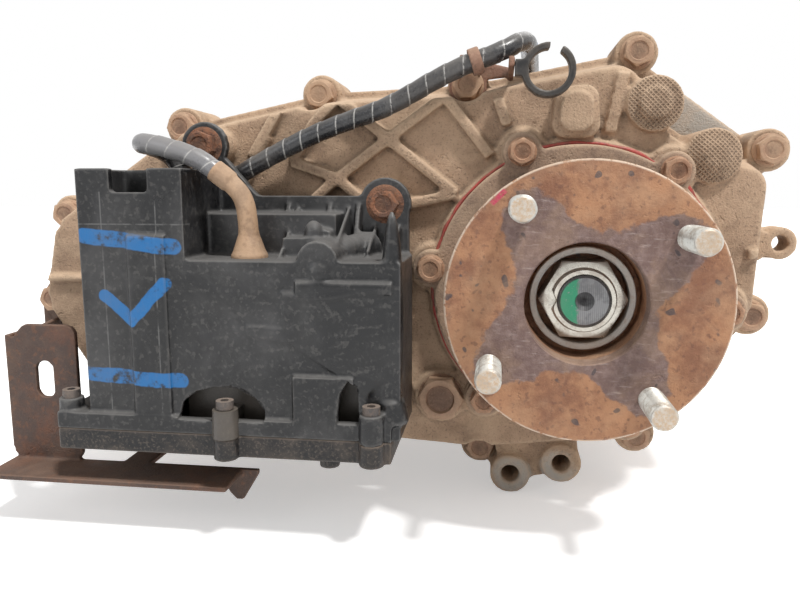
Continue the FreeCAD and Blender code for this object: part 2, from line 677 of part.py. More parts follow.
sun = prism(gear_outline(SUN, MODULE, 0.9, 1.25, SLACK), GEAR_START, GEAR_END)
input_shaft = sun.fuse(rod(30, GEAR_END - 2, 248)).fuse(rod(mm("input_bearing_id") / 2, 246, 268))
input_shaft = input_shaft.fuse(rod(24, 267, 284))
input_shaft = input_shaft.cut(rod(27.6, 210, 215.4)).cut(dog_bore(215, 223.4)).cut(rod(10 + GAP, 222, 247))
SPLINE = mm("input_spline_dia") / 2
input_shaft = input_shaft.cut(toothed(24, SPLINE - 1.8, SPLINE, 0.5, 254, 285).fuse(rod(SPLINE - 1.4, 254, 285)))
feature("input_shaft", input_shaft.removeSplitter())

ring_bore = prism(turned_outline(gear_outline(RING, MODULE, 1.25, 0.9, -SLACK), 180 / RING), 200, 250)
ring_gear = rod(69, GEAR_START - 1, GEAR_END + 1).cut(ring_bore)
feature("ring_gear", ring_gear)

carrier = rod(53.4, 199, 210.6).cut(dog_bore(198, 208.6)).cut(rod(28, 208, 212))
carrier_front = rod(53.4, 235.4, 243).cut(rod(30 + GAP, 235, 244))
PLANET_ANGLES = []
for k in range(int(mm("planet_count"))):
    tooth_share = 360 / (SUN + RING)
    PLANET_ANGLES.append(round(k * (SUN + RING) / mm("planet_count")) * tooth_share)
posts = [rod(7, 209, 237, *polar(CARRIER_RADIUS, angle)) for angle in PLANET_ANGLES]
carrier = carrier.fuse(carrier_front)
carrier = carrier.multiFuse(posts)
for angle in PLANET_ANGLES:
    bridge = prism([polar(r, angle + 60 + side) for r, side in
                    ((38, -22), (52, -16), (53.0, 0), (52, 16), (38, 22))], 210, 236)
    carrier = carrier.fuse(bridge)
feature("planet_carrier", carrier.removeSplitter())

for k, angle in enumerate(PLANET_ANGLES, 1):
    phase = angle * (1 + SUN / PLANET) + 180 - 180 / PLANET
    outline = turned_outline(gear_outline(PLANET, MODULE, 0.9, 1.25, SLACK), phase)
    gear = prism(outline, GEAR_START, GEAR_END).cut(rod(7 + GAP, 200, 240))
    px, pz = polar(CARRIER_RADIUS, angle)
    feature(f"planet_gear_{k}", placed(gear, px, 0, pz))

ball_bearing("input_bearing", mm("input_bearing_id") / 2, mm("input_bearing_od") / 2, 248,
             mm("input_bearing_width"))
oil_seal("input_oil_seal", 24, 35, 272)

# --------------------------------------------------------------------------- front output
FRONT = "-chain_pitch * (chain_links - sprocket_teeth) / 2"
turned("front_output_shaft", [
    ("0", "70"), ("needle_dia / 2", "70"), ("needle_dia / 2", "90"), ("19", "90"), ("19", "126"),
    ("24", "126"), ("24", "148"), ("22", "148"), ("22", "160"), ("front_bearing_id / 2", "160"),
    ("front_bearing_id / 2", "178"), ("15", "178"), ("15", "205"), ("thread_dia / 2", "205"),
    ("thread_dia / 2", "226"), ("thread_dia / 2 - 1", "227"), ("centre_hole_dia / 2", "227"),
    ("0", "221")], FRONT)
front_flange = turned("front_flange", [
    ("hub_dia / 2", "178"), ("hub_dia / 2", "206"), ("34", "212"), ("34", "220"),
    ("front_flange_dia / 2 - 1", "220"), ("front_flange_dia / 2", "221"),
    ("front_flange_dia / 2", "229"), ("front_flange_dia / 2 - 1", "230"), ("26", "230"),
    ("26", "206"), ("15", "206"), ("15", "178")], FRONT)
stud_holes(front_flange, "front_stud_circle_dia", "219")
studs("front_studs", "front_stud_circle_dia", "230", 1, FRONT)
flange_nut("front_nut", 206, 1, FRONT_X)
ball_bearing("front_bearing", mm("front_bearing_id") / 2, mm("front_bearing_od") / 2, 160,
             mm("front_bearing_width"), FRONT_X)
oil_seal("front_oil_seal", mm("hub_dia") / 2, mm("front_bearing_od") / 2, 182, FRONT_X)
tube("front_snap_ring", "front_bearing_od / 2", "front_bearing_od / 2 - 4", "178", "180", FRONT)
tube("front_needle_bearing", "needle_od / 2", "needle_dia / 2 + running_gap", "72",
     "72 + needle_width", FRONT)

# --------------------------------------------------------------------------- castings
BOSS = mm("case_boss_dia") / 2
BOLT_R, SMALL_R = mm("case_bolt_dia") / 2, mm("small_bolt_dia") / 2
SEAT_Y = JOINT_Y - mm("case_bolt_grip")
FRONT_WALL_Y = CHAIN_WALL_Y + CASE_WALL
BOLT_DEPTH = 16
SPOT_FACE = 11


def plate(points, radius, offset, start, end):
    """A flat plate over an outline moved outward by offset."""
    return Part.Face(rounded_wire(moved_outline(points, offset), radius, start)).extrude(V(0, end - start, 0))


def rib(start, end, low, high, width=5.5):
    """A straight rib between two points (x, z)."""
    along = V(end[0] - start[0], end[1] - start[1], 0).normalize() * (width / 2)
    corners = [(start[0] - along.y, start[1] + along.x), (start[0] + along.y, start[1] - along.x),
               (end[0] + along.y, end[1] - along.x), (end[0] - along.y, end[1] + along.x)]
    return prism(corners, low, high)


def rear_wall_ribs():
    """The crossed ribs on the rear wall, cut off at the wall's edge."""
    knots = {
        "a": (-69.4, 99.4), "b": (-99.3, 77.7), "c": (-127, 57.3), "d": (-140, 46), "e": (-126.4, 99.3),
        "f": (-63, 48.9), "g": (-152, 66), "h": (-112, 44), "i": (-45.5, 68.6), "j": (-157.8, 95.7),
        "k": (-175, 68.2), "l": (-140, 86), "m": (-42, 98), "n": (-37, 84), "o": (-86, 44),
    }
    lines = ["ab", "bc", "cd", "eb", "bf", "gc", "ch", "ai", "jk", "el", "mn", "lg", "fo", "ho"]
    ribs = [rib(knots[a], knots[b], WALL_Y - 6, WALL_Y + 2) for a, b in lines]
    for angle in range(20, 380, 40):
        ribs.append(rib(polar(24, angle, FRONT_X), polar(92, angle, FRONT_X), WALL_Y - 4, WALL_Y + 2, 4.5))
    for angle in (-18, 12, 190, 215, 262, 280, 322):
        ribs.append(rib(polar(88, angle), polar(104, angle), PAD_Y, WALL_Y + 2))
    area = plate(CHAMBER_OUTLINE, 14, -DRAFT - 1, WALL_Y - 10, WALL_Y + 10)
    return [one.common(area) for one in ribs]


def rear_case():
    """The rear half of the case, with the chain chamber's outer wall."""
    solid = drafted(CHAMBER_OUTLINE, 14, WALL_Y, JOINT_Y, -DRAFT, 0)
    lean = DRAFT * (JOINT_Y - WALL_Y - CASE_WALL) / (JOINT_Y - WALL_Y)
    hollow = drafted(CHAMBER_OUTLINE, 9, WALL_Y + CASE_WALL, JOINT_Y + 1, -lean - CASE_WALL, -CASE_WALL)
    rim = plate(CHAMBER_OUTLINE, 14, 3, JOINT_Y - RIM + 2, JOINT_Y)
    clearings = [rod(SPOT_FACE + 6, WALL_Y, JOINT_Y, x, z).common(solid) for x, z in CASE_BOLTS]
    solid = solid.fuse(rim).cut(hollow).multiFuse(clearings)
    for x, z in CASE_BOLTS:
        solid = solid.cut(rod(SPOT_FACE, WALL_Y - 10, SEAT_Y, x, z))
    added = [rod(BOSS, SEAT_Y, JOINT_Y, x, z) for x, z in CASE_BOLTS]
    added += [rod(10, SEAT_Y + 4, JOINT_Y, x, z) for x, z in DOWELS]
    added += rear_wall_ribs()
    added.append(rod(77, PAD_Y, WALL_Y + 2))
    added += [rod(13, PAD_Y, WALL_Y + 14, x, z) for x, z in RETAINER_BOLTS]
    added += [rod(8.5, WALL_Y + 2, 78, x, z) for x, z in RETAINER_BOLTS]
    added.append(rod(48, WALL_Y, 92))
    added += [rod(26, WALL_Y - 4, WALL_Y + 2, FRONT_X), rod(22, WALL_Y + 2, 89.5, FRONT_X)]
    added.append(rod(12, WALL_Y + 2, 122, *RAIL))
    added.append(rod(14, WALL_Y - 6, 84, *DRUM))
    added += [rod(10, 43, WALL_Y + 2, x, z) for x, z in EAR_BOLTS]
    added.append(rod(15, PAD_Y, WALL_Y + CASE_WALL + 3, *FILL_PLUG))
    added += [rod(14, 54, JOINT_Y - 4, 36.3, 94), rod(8, 51, 55, 36.3, 94)]
    added += [rod(14, 56.5, JOINT_Y - 4, 66.5, 68), Part.makeCone(5, 12, 4, V(66.5, 52.5, 68), V(0, 1, 0))]
    added.append(plate([(-15, 77), (10, 77), (8, 104), (-13, 102)], 7, -3, 48, 51))
    added.append(plate([(-15, 77), (10, 77), (8, 104), (-13, 102)], 7, 0, 51, 64))
    added.append(rib((15, 80), (21, 110), 57, 100, 6))
    added += [rod(9, 92, JOINT_Y, 114, 21.8), block((95, 114), (100, JOINT_Y), (13, 30))]
    added += [rod(11.5, 72, 104, x, z) for x, z in LUG_HOLES]
    added.append(prism([(-38, -104), (-31, -118), (-1, -110), (8, -100), (6, -84), (-42, -88)], 76, 104))
    solid = solid.multiFuse(added)
    holes = [rod(mm("rear_bearing_od") / 2, 0, 87), rod(36, 80, 95), rod(16.5, 72, 95, FRONT_X)]
    holes += [rod(14, 69, 75, FRONT_X), rod(mm("rail_dia") / 2, 90, 125, *RAIL), rod(8 + GAP, 40, 90, *DRUM)]
    holes += [rod(BOLT_R, SEAT_Y - 1, JOINT_Y + 1, x, z) for x, z in CASE_BOLTS]
    holes += [rod(4, 104, JOINT_Y + 1, x, z) for x, z in DOWELS]
    holes += [rod(SMALL_R, 40, 74, x, z) for x, z in RETAINER_BOLTS]
    holes += [rod(SMALL_R, 40, 64, x, z) for x, z in EAR_BOLTS]
    holes += [rod(9, 40, 80, *FILL_PLUG), rod(4.5, 90, 112, 114, 21.8)]
    holes += [rod(5.2, 70, 98, x, z) for x, z in LUG_HOLES]
    for hole_shape in holes:
        solid = solid.cut(hole_shape)
    return solid.removeSplitter()


def front_case():
    """The front half of the case, from the parting plane to the gearbox."""
    solid = drafted(CHAMBER_OUTLINE, 14, JOINT_Y, FRONT_WALL_Y, 0, -DRAFT)
    lean = DRAFT * (CHAIN_WALL_Y - JOINT_Y) / (FRONT_WALL_Y - JOINT_Y)
    hollow = drafted(CHAMBER_OUTLINE, 9, JOINT_Y - 1, CHAIN_WALL_Y, -CASE_WALL, -lean - CASE_WALL)
    added = [plate(RIM_OUTLINE, 14, 3, JOINT_Y, JOINT_Y + RIM - 2)]
    added += [rod(BOSS, JOINT_Y, JOINT_Y + BOLT_DEPTH + 2, x, z) for x, z in CASE_BOLTS]
    added += [rod(10, JOINT_Y, JOINT_Y + 12, x, z) for x, z in DOWELS]
    added.append(belt(mm("bell_dia") / 2, mm("pod_dia") / 2, POD, CHAIN_WALL_Y, 243))
    added += [Part.makeCone(76, 58, 10, V(0, 243, 0), V(0, 1, 0)), rod(58, 250, 274)]
    added += [Part.makeCone(58, 82, 16, V(0, 274, 0), V(0, 1, 0)), rod(mm("adapter_dia") / 2, 288, 302)]
    added.append(rod(46, CHAIN_WALL_Y - 7, 191, FRONT_X))
    added.append(rod(13, FRONT_WALL_Y - 6, FRONT_WALL_Y + 4, *DRAIN_PLUG))
    solid = solid.multiFuse(added)
    inner = [hollow, belt(69, 39, POD, CHAIN_WALL_Y - 1, 236), rod(60, 235, 245)]
    inner += [rod(mm("input_bearing_od") / 2, 244, 268), rod(41, 267, 270), rod(35, 269, 288)]
    inner += [rod(mm("pilot_bore_dia") / 2, 286, 303), rod(34, 150, 161, FRONT_X), rod(40, 160, 192, FRONT_X)]
    for hole_shape in inner:
        solid = solid.cut(hole_shape)
    ribs = [rod(12, 228, 240, *RAIL), rod(12, 228, 240, *DRUM)]
    ribs.append(Part.makeCylinder(12, 14, V(SWITCH[0], SWITCH[1], 67), V(0, 0, 1)).cut(rod(69, 150, 236)))
    boss_ring = [rod(BOSS, JOINT_Y, JOINT_Y + BOLT_DEPTH + 2, x, z) for x, z in CASE_BOLTS]
    ribs += boss_ring + [rod(10, JOINT_Y, JOINT_Y + 12, x, z) for x, z in DOWELS]
    ribs.append(rod(46, CHAIN_WALL_Y - 7, FRONT_WALL_Y, FRONT_X).cut(rod(34, 150, 170, FRONT_X)).common(
        rod(47, 150, 160, FRONT_X)))
    for i in range(int(mm("adapter_bolt_count"))):
        web = rib(polar(56, 45 * i), polar(93, 45 * i), 255, 289, 6)
        ribs.append(web.common(Part.makeCone(58, 98, 33, V(0, 256, 0), V(0, 1, 0))))
    for angle in (30, 60, 90, 200 + 95, 330):
        ribs.append(rib(polar(72, angle), polar(82, angle), FRONT_WALL_Y - 2, 243, 6))
    for angle in (40, 80, 120, 160, 200, 240, 280):
        ribs.append(rib(polar(44, angle, FRONT_X), polar(80, angle, FRONT_X), FRONT_WALL_Y - 2, FRONT_WALL_Y + 7, 5))
    solid = solid.multiFuse(ribs)
    holes = [rod(BOLT_R, JOINT_Y - 1, JOINT_Y + BOLT_DEPTH, x, z) for x, z in CASE_BOLTS]
    holes += [rod(4, JOINT_Y - 1, JOINT_Y + 6, x, z) for x, z in DOWELS]
    holes += [rod(mm("rail_dia") / 2, 220, 238, *RAIL), rod(8 + GAP, 220, 239, *DRUM)]
    holes += [rod(9, 140, 190, *DRAIN_PLUG)]
    holes.append(Part.makeCylinder(5, 30, V(SWITCH[0], SWITCH[1], 60), V(0, 0, 1)))
    holes.append(rod(mm("pilot_bore_dia") / 2, 286, 303))
    for i in range(int(mm("adapter_bolt_count"))):
        x, z = polar(mm("adapter_bolt_circle") / 2, 22.5 + 45 * i)
        holes.append(rod(mm("adapter_hole_dia") / 2, 280, 305, x, z))
    for hole_shape in holes:
        solid = solid.cut(hole_shape)
    return solid.removeSplitter()


feature("rear_case", rear_case())
feature("front_case", front_case())

case_screw = cap_screw(mm("case_bolt_dia"), mm("case_bolt_hex"), mm("case_bolt_grip") + 14)
case_bolts = []
for number, (x, z) in enumerate(CASE_BOLTS):
    lifted = SHEET_METAL if number in GUARD_BOLTS + (BRACKET_BOLT,) else 0
    case_bolts.append(placed(case_screw, x, SEAT_Y - lifted, z))
feature("case_bolts", Part.makeCompound(case_bolts))
feature("dowel_pins", Part.makeCompound([rod(4, 104, 116, x, z) for x, z in DOWELS]))
plug = cap_screw(18, 22, 14, 8, -3.6)
drain = plug.copy()
drain.rotate(V(0, 0, 0), V(0, 0, 1), 180)
feature("oil_plugs", Part.makeCompound([
    placed(plug, FILL_PLUG[0], PAD_Y, FILL_PLUG[1]),
    placed(drain, DRAIN_PLUG[0], FRONT_WALL_Y + 4, DRAIN_PLUG[1])]))
tube("input_snap_ring", "input_bearing_od / 2", "input_bearing_od / 2 - 3.5", "245.5", "248")

# --------------------------------------------------------------------------- shift mechanism
PIN_Y = 148
heading = math.degrees(math.atan2(RAIL[1] - DRUM[1], RAIL[0] - DRUM[0]))
drum = rod(mm("drum_dia") / 2, 126, 174, *DRUM)
for angle in range(-4, 105, 4):
    station = PIN_Y - mm("cam_lead") * angle / 360
    out = polar(1, heading + angle)
    cutter = Part.makeCylinder(4.3, 6, V(DRUM[0] + 12 * out[0], station, DRUM[1] + 12 * out[1]), V(out[0], 0, out[1]))
    drum = drum.cut(cutter)
feature("shift_drum", drum.fuse(rod(8, 26, 238, *DRUM)).removeSplitter())
feature("shift_rail", rod(mm("rail_dia") / 2, 90, 238, *RAIL))


def fork(name, hub_start, hub_end, yoke_start, yoke_end, inner, outer):
    """A shift fork that slides on the rail and straddles a sleeve's groove."""
    reach = math.hypot(*RAIL)
    turn = math.degrees(math.atan2(RAIL[1], RAIL[0]))
    yoke = rod(outer, yoke_start, yoke_end).cut(prism(
        [polar(r, turn + side) for r, side in ((80, -95), (80, -150), (90, 180), (80, 150), (80, 95))],
        yoke_start - 1, yoke_end + 1))
    neck = prism([polar(inner + 4, turn - 35), polar(reach, turn - 6), polar(reach, turn + 6),
                  polar(inner + 4, turn + 35)], yoke_start, yoke_end)
    solid = rod(13, hub_start, hub_end, *RAIL).fuse(yoke).fuse(neck)
    return solid.cut(rod(inner, yoke_start - 1, yoke_end + 1)).cut(rod(8 + GAP, hub_start - 1, hub_end + 1, *RAIL))


towards = polar(1, heading + 180)
pin = Part.makeCylinder(4, 15.5, V(RAIL[0] + 11.5 * towards[0], PIN_Y, RAIL[1] + 11.5 * towards[1]),
                        V(towards[0], 0, towards[1]))
feature("mode_fork", fork("mode_fork", 136, 160, 146.4, 151.6, 37.3, 50).fuse(pin).removeSplitter())
feature("range_fork", fork("range_fork", 176, 200, 185.4, 190.6, 24.3, 38).removeSplitter())

# --------------------------------------------------------------------------- shift actuator
IDLER, MOTOR = (-144, -27), (-168, -27)
FINE = 1.0
wheel = prism(gear_outline(48, FINE, 0.9, 1.25, SLACK), 28, 35).cut(rod(8, 20, 40))
feature("output_wheel", placed(wheel, DRUM[0], 0, DRUM[1]))
pinion_outline = turned_outline(gear_outline(12, FINE, 0.9, 1.25, SLACK), 15)
idler = prism(gear_outline(36, FINE, 0.9, 1.25, SLACK), 18, 25).fuse(prism(pinion_outline, 24, 36))
feature("idler_gear", placed(idler.cut(rod(2.5 + GAP, 10, 40)).removeSplitter(), IDLER[0], 0, IDLER[1]))
motor_pinion = prism(pinion_outline, 17, 25).cut(rod(1.5 + GAP, 10, 40))
feature("motor_pinion", placed(motor_pinion, MOTOR[0], 0, MOTOR[1]))
feature("actuator_motor", rod(16, -5.5, 14, *MOTOR).fuse(rod(5, 13, 16, *MOTOR)).fuse(rod(1.5, 15, 25.5, *MOTOR)))

COVER_SCREWS = [(-252, -4), (-168, -12.4), (-97, -12.4), (-252, 30)]
EARS = [(12.5, EAR_BOLTS[0]), (13.5, EAR_BOLTS[1]), (10, EAR_BOLTS[2])]


def upright(radius, low, high, x, y):
    """A cylinder along Z."""
    return Part.makeCylinder(radius, high - low, V(x, y, low), V(0, 0, 1))


def actuator_housing():
    """The moulded housing, open below, with its back plate and the connector's shroud."""
    shell = block((-188, -84), (-8, 38), (-66, 18.5))
    shell = shell.multiFuse([
        block((-188, -120), (20, 38), (18, 39.5)), block((-240, -187), (-8, 38), (-66, 61.3)),
        block((-256, -88), (-11, 38), (-66, -58)), block((-215, -196), (-10.5, -8), (-58, 30)),
        block((-135, -106), (-11, -8), (-58, -36)), block((-133, -88), (-10.5, -8), (4, 9))])
    back = plate([(-241, -76), (-88, -76), (-85, -40), (-86, 44), (-109, 48), (-166, 48), (-183, 68),
                  (-203, 61.3), (-240, 61.3), (-262, -24), (-262, -44)], 4, 0, 38, 43)
    shell = shell.fuse(back).multiFuse([rod(radius, 38, 43, *centre) for radius, centre in EARS])
    shell = shell.cut(block((-185.5, -86.5), (-5.5, 38), (-67, 16)))
    shell = shell.cut(block((-185.5, -122.5), (22.5, 38), (15, 37)))
    shell = shell.cut(block((-237.5, -189.5), (-5.5, 38), (-67, 30)))
    shell = shell.cut(block((-190, -185), (-5.5, 38), (-67, 16)))
    shell = shell.cut(block((-236, -196), (-4, 30), (33, 62))).cut(block((-223, -204), (-9, 0), (50, 62)))
    shell = shell.multiFuse([rod(10, -8, 22, -123, 18), rod(3, 14, 22, -124, 29), rod(2.5, 17, 39, *IDLER)])
    shell = shell.multiFuse([upright(6, -66, -52, x, y) for x, y in COVER_SCREWS])
    for x in (-113, -128, -150):
        gusset = Part.Face(Part.makePolygon([V(x, 22, 18), V(x, 38, 18), V(x, 38, 46), V(x, 22, 18)]))
        shell = shell.fuse(gusset.extrude(V(2.5, 0, 0)))
    shell = shell.cut(rod(9, 30, 50, *DRUM))
    for _, centre in EARS:
        shell = shell.cut(rod(SMALL_R, 30, 50, *centre))
    for x, y in COVER_SCREWS:
        shell = shell.cut(upright(2.5, -70, -50, x, y))
    for x in CONTACTS:
        shell = shell.cut(upright(1, 25, 40, x, BOARD_Y))
    return shell.removeSplitter()


BOARD_Y = 20.8
CONTACTS = (-222, -217, -212, -207)
feature("actuator_housing", actuator_housing())
cover = block((-256, -88), (-11, 38), (-77, -66)).multiFuse(
    [upright(6, -77, -66, x, y) for x, y in COVER_SCREWS])
cover = cover.cut(block((-244, -91), (-4, 35), (-74, -60)))
for x, y in COVER_SCREWS:
    cover = cover.cut(upright(2.5, -78, -60, x, y))
feature("actuator_cover", cover.fuse(upright(5, -83, -77, -120, 0)).removeSplitter())
cover_screw = upright(4.2, 0, 4, 0, 0).fuse(upright(2.5, -22, 0, 0, 0)).cut(upright(2, 2, 5, 0, 0))
feature("actuator_screws", Part.makeCompound([placed(cover_screw, x, y, -52) for x, y in COVER_SCREWS]))
ear_screw = cap_screw(mm("small_bolt_dia"), 13, 24, 7, 3)
feature("actuator_bolts", Part.makeCompound([placed(ear_screw, x, 38, z) for x, z in EAR_BOLTS]))
board = block((-237.5, -192), (BOARD_Y - 0.8, BOARD_Y + 0.8), (-60, 28)).multiFuse(
    [upright(1, 26, 48, x, BOARD_Y) for x in CONTACTS])
feature("circuit_board", board.fuse(block((-228, -214), (16, 20), (-10, 4))).removeSplitter())
seal = block((-236, -196), (-4, 30), (33, 36)).cut(block((-232, -200), (0, 26), (32, 37)))
feature("connector_seal", seal)

# --------------------------------------------------------------------------- guard, bracket, harness
FOOT_Y = SEAT_Y - SHEET_METAL
CLIP = (-17.6, 108.7)
corner, lowest = CASE_BOLTS[GUARD_BOLTS[0]], CASE_BOLTS[GUARD_BOLTS[1]]
guard = plate([(-303, -95), (-262, -95), (-262, -20), (-292, -20), (-303, -32)], 6, 0, 18, 18 + SHEET_METAL)
arm_outline = [(-303, 18), (-300, 18), (-300, 50), (-309, SEAT_Y), (-312, SEAT_Y), (-303, 50)]
arm = Part.Face(Part.makePolygon([V(x, y, -38) for x, y in arm_outline + arm_outline[:1]])).extrude(V(0, 0, 12))
guard = guard.cut(plate([(-286, -60), (-276, -60), (-276, -40), (-286, -40)], 4.9, 0, 10, 30))
guard = guard.multiFuse([
    arm,
    plate([(-325, -38), (-308, -38), (-306, -26), (-304.5, -16), (-308, -7), (-319, -6), (-325, -14)], 3, 0,
          FOOT_Y, SEAT_Y),
    block((-303, -172), (-6, 21), (-98, -95)), block((-240, -225), (20, SEAT_Y), (-98, -95)),
    plate([(-240, -98), (-232, -107), (-214, -109), (-201, -104), (-201, -93), (-214, -92), (-240, -93)], 3, 0, FOOT_Y, SEAT_Y),
    plate([(-176, -112), (-172, -112), (-163, -97), (-163, -95), (-190, -95)], 1, 0, 18, 21)])
guard = guard.cut(rod(BOLT_R, 80, 92, *corner)).cut(rod(BOLT_R, 80, 92, *lowest))
feature("guard_plate", guard.removeSplitter())

bracket_bolt = CASE_BOLTS[BRACKET_BOLT]
foot = rod(10.5, FOOT_Y, SEAT_Y, *bracket_bolt).fuse(
    plate([(-64, 110), (-36, 112.5), (-34, 117), (-50, 121), (-64, 119)], 2, 0, FOOT_Y, SEAT_Y))
bracket = foot.multiFuse([block((-37, -34), (37, SEAT_Y), (110.5, 115.5)), block((-62, -50), (53.5, SEAT_Y), (117.5, 119.5))])
strap_at, strap_along = V(-53.5, 49.2, 115.2), V(25, 1.5, 8.5).normalize()
strap = Part.makeCylinder(6.8, 6, strap_at - strap_along * 3, strap_along)
bracket = bracket.fuse(strap).cut(Part.makeCylinder(5.2, 20, strap_at - strap_along * 10, strap_along))
feature("clip_bracket", bracket.cut(rod(BOLT_R, 80, 92, *bracket_bolt)).removeSplitter())
clip = rod(13, 37, 45, *CLIP).fuse(block((-34, -28), (37, 45), (106, 114))).cut(rod(9.8, 30, 50, *CLIP))
clip = clip.cut(prism([CLIP, (-5, 130), (-17, 130)], 30, 50))
feature("harness_clip", clip.removeSplitter())

BOOT_ROUTE = [(-160.5, 8, 18.5), (-160.5, 6, 47), (-176, 6, 59)]
LOOM_ROUTE = [
    (-176, 6, 59), (-184, 6, 66.5), (-214, 8, 73), (-220, 55, 73), (-206, 49, 48), (-178, 48.4, 60),
    (-145, 48.4, 77), (-98, 48.4, 93), (-66, 48.5, 111), (-41, 50, 119.5), (-28, 66, 128), (-24, 120, 128),
    (-20, 205, 128), (-20, 205, 106)]
boot, boot_length = pipe(BOOT_ROUTE, 4.6)
boot = boot.fuse(Part.makeCone(9, 4.8, 11, V(-160.5, 8, 18.5), V(0, -0.07, 1)))
boot = boot.cut(block((-175, -145), (-10, 25), (10, 18.5)))
feature("harness_boot", boot.removeSplitter())
loom, loom_length = pipe(LOOM_ROUTE, 5)
feature("harness_loom", loom)
switch = Part.makeCylinder(11, 6, V(SWITCH[0], SWITCH[1], 81), V(0, 0, 1)).multiFuse([
    block((SWITCH[0] - 9, SWITCH[0] + 9), (SWITCH[1] - 9, SWITCH[1] + 9), (87, 97)),
    upright(6.5, 97, 106, *SWITCH), upright(5, 70, 81, *SWITCH)])
feature("position_switch", switch.removeSplitter())

# --------------------------------------------------------------------------- checks and export
doc.recompute()
for item in doc.Objects:
    if {"Invalid", "Error"} & set(item.State):
        raise RuntimeError(f"{item.Label} did not recompute: {item.State}")
for part in SUBPARTS:
    if part.Shape.isNull() or not part.Shape.isValid() or not part.Shape.Solids:
        raise RuntimeError(f"{part.Label} has no valid solid")

os.makedirs("parts", exist_ok=True)
for part in SUBPARTS:
    part.Shape.exportStep(f"parts/{part.Label}.step")
print(f"{len(SUBPARTS)} sub-parts written")
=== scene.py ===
"""Looks of a two-speed transfer case with an electric shift actuator.

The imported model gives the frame: the origin is the centre of the rear companion flange's face, +Y runs
towards the gearbox and +Z is up.  Each class below dresses one sub-assembly of that frame.
"""

import logging
import math
from dataclasses import dataclass
from enum import Enum

import bmesh
import bpy
from mathutils import Matrix, Vector, noise


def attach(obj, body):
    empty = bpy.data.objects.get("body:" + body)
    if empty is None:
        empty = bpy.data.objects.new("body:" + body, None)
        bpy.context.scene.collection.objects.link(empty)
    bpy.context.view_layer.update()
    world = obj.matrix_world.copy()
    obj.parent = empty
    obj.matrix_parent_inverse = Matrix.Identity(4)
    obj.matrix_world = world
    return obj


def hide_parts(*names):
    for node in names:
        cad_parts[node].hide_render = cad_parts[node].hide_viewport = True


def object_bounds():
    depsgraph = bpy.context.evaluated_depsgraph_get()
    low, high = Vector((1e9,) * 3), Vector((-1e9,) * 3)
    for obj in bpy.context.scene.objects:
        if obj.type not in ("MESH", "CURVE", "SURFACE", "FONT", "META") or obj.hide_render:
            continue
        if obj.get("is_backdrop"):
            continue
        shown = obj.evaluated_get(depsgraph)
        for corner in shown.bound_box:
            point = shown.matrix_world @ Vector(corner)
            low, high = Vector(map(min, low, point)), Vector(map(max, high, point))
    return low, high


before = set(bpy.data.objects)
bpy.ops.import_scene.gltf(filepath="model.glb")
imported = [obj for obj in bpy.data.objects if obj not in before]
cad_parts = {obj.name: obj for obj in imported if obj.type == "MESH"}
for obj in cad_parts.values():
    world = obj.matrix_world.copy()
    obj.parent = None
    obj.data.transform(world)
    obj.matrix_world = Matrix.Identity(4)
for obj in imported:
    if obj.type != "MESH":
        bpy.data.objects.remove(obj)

LOG = logging.getLogger("transfer_case")
Colour = tuple[float, float, float]
Point = tuple[float, float, float]
Value = bpy.types.NodeSocket
MM = 0.001
FRONT_AXIS_X = -211.1375 * MM
WELD = 2e-6
GRAIN_DEPTH = 0.0006
SCUFF_SCALE = 26.0


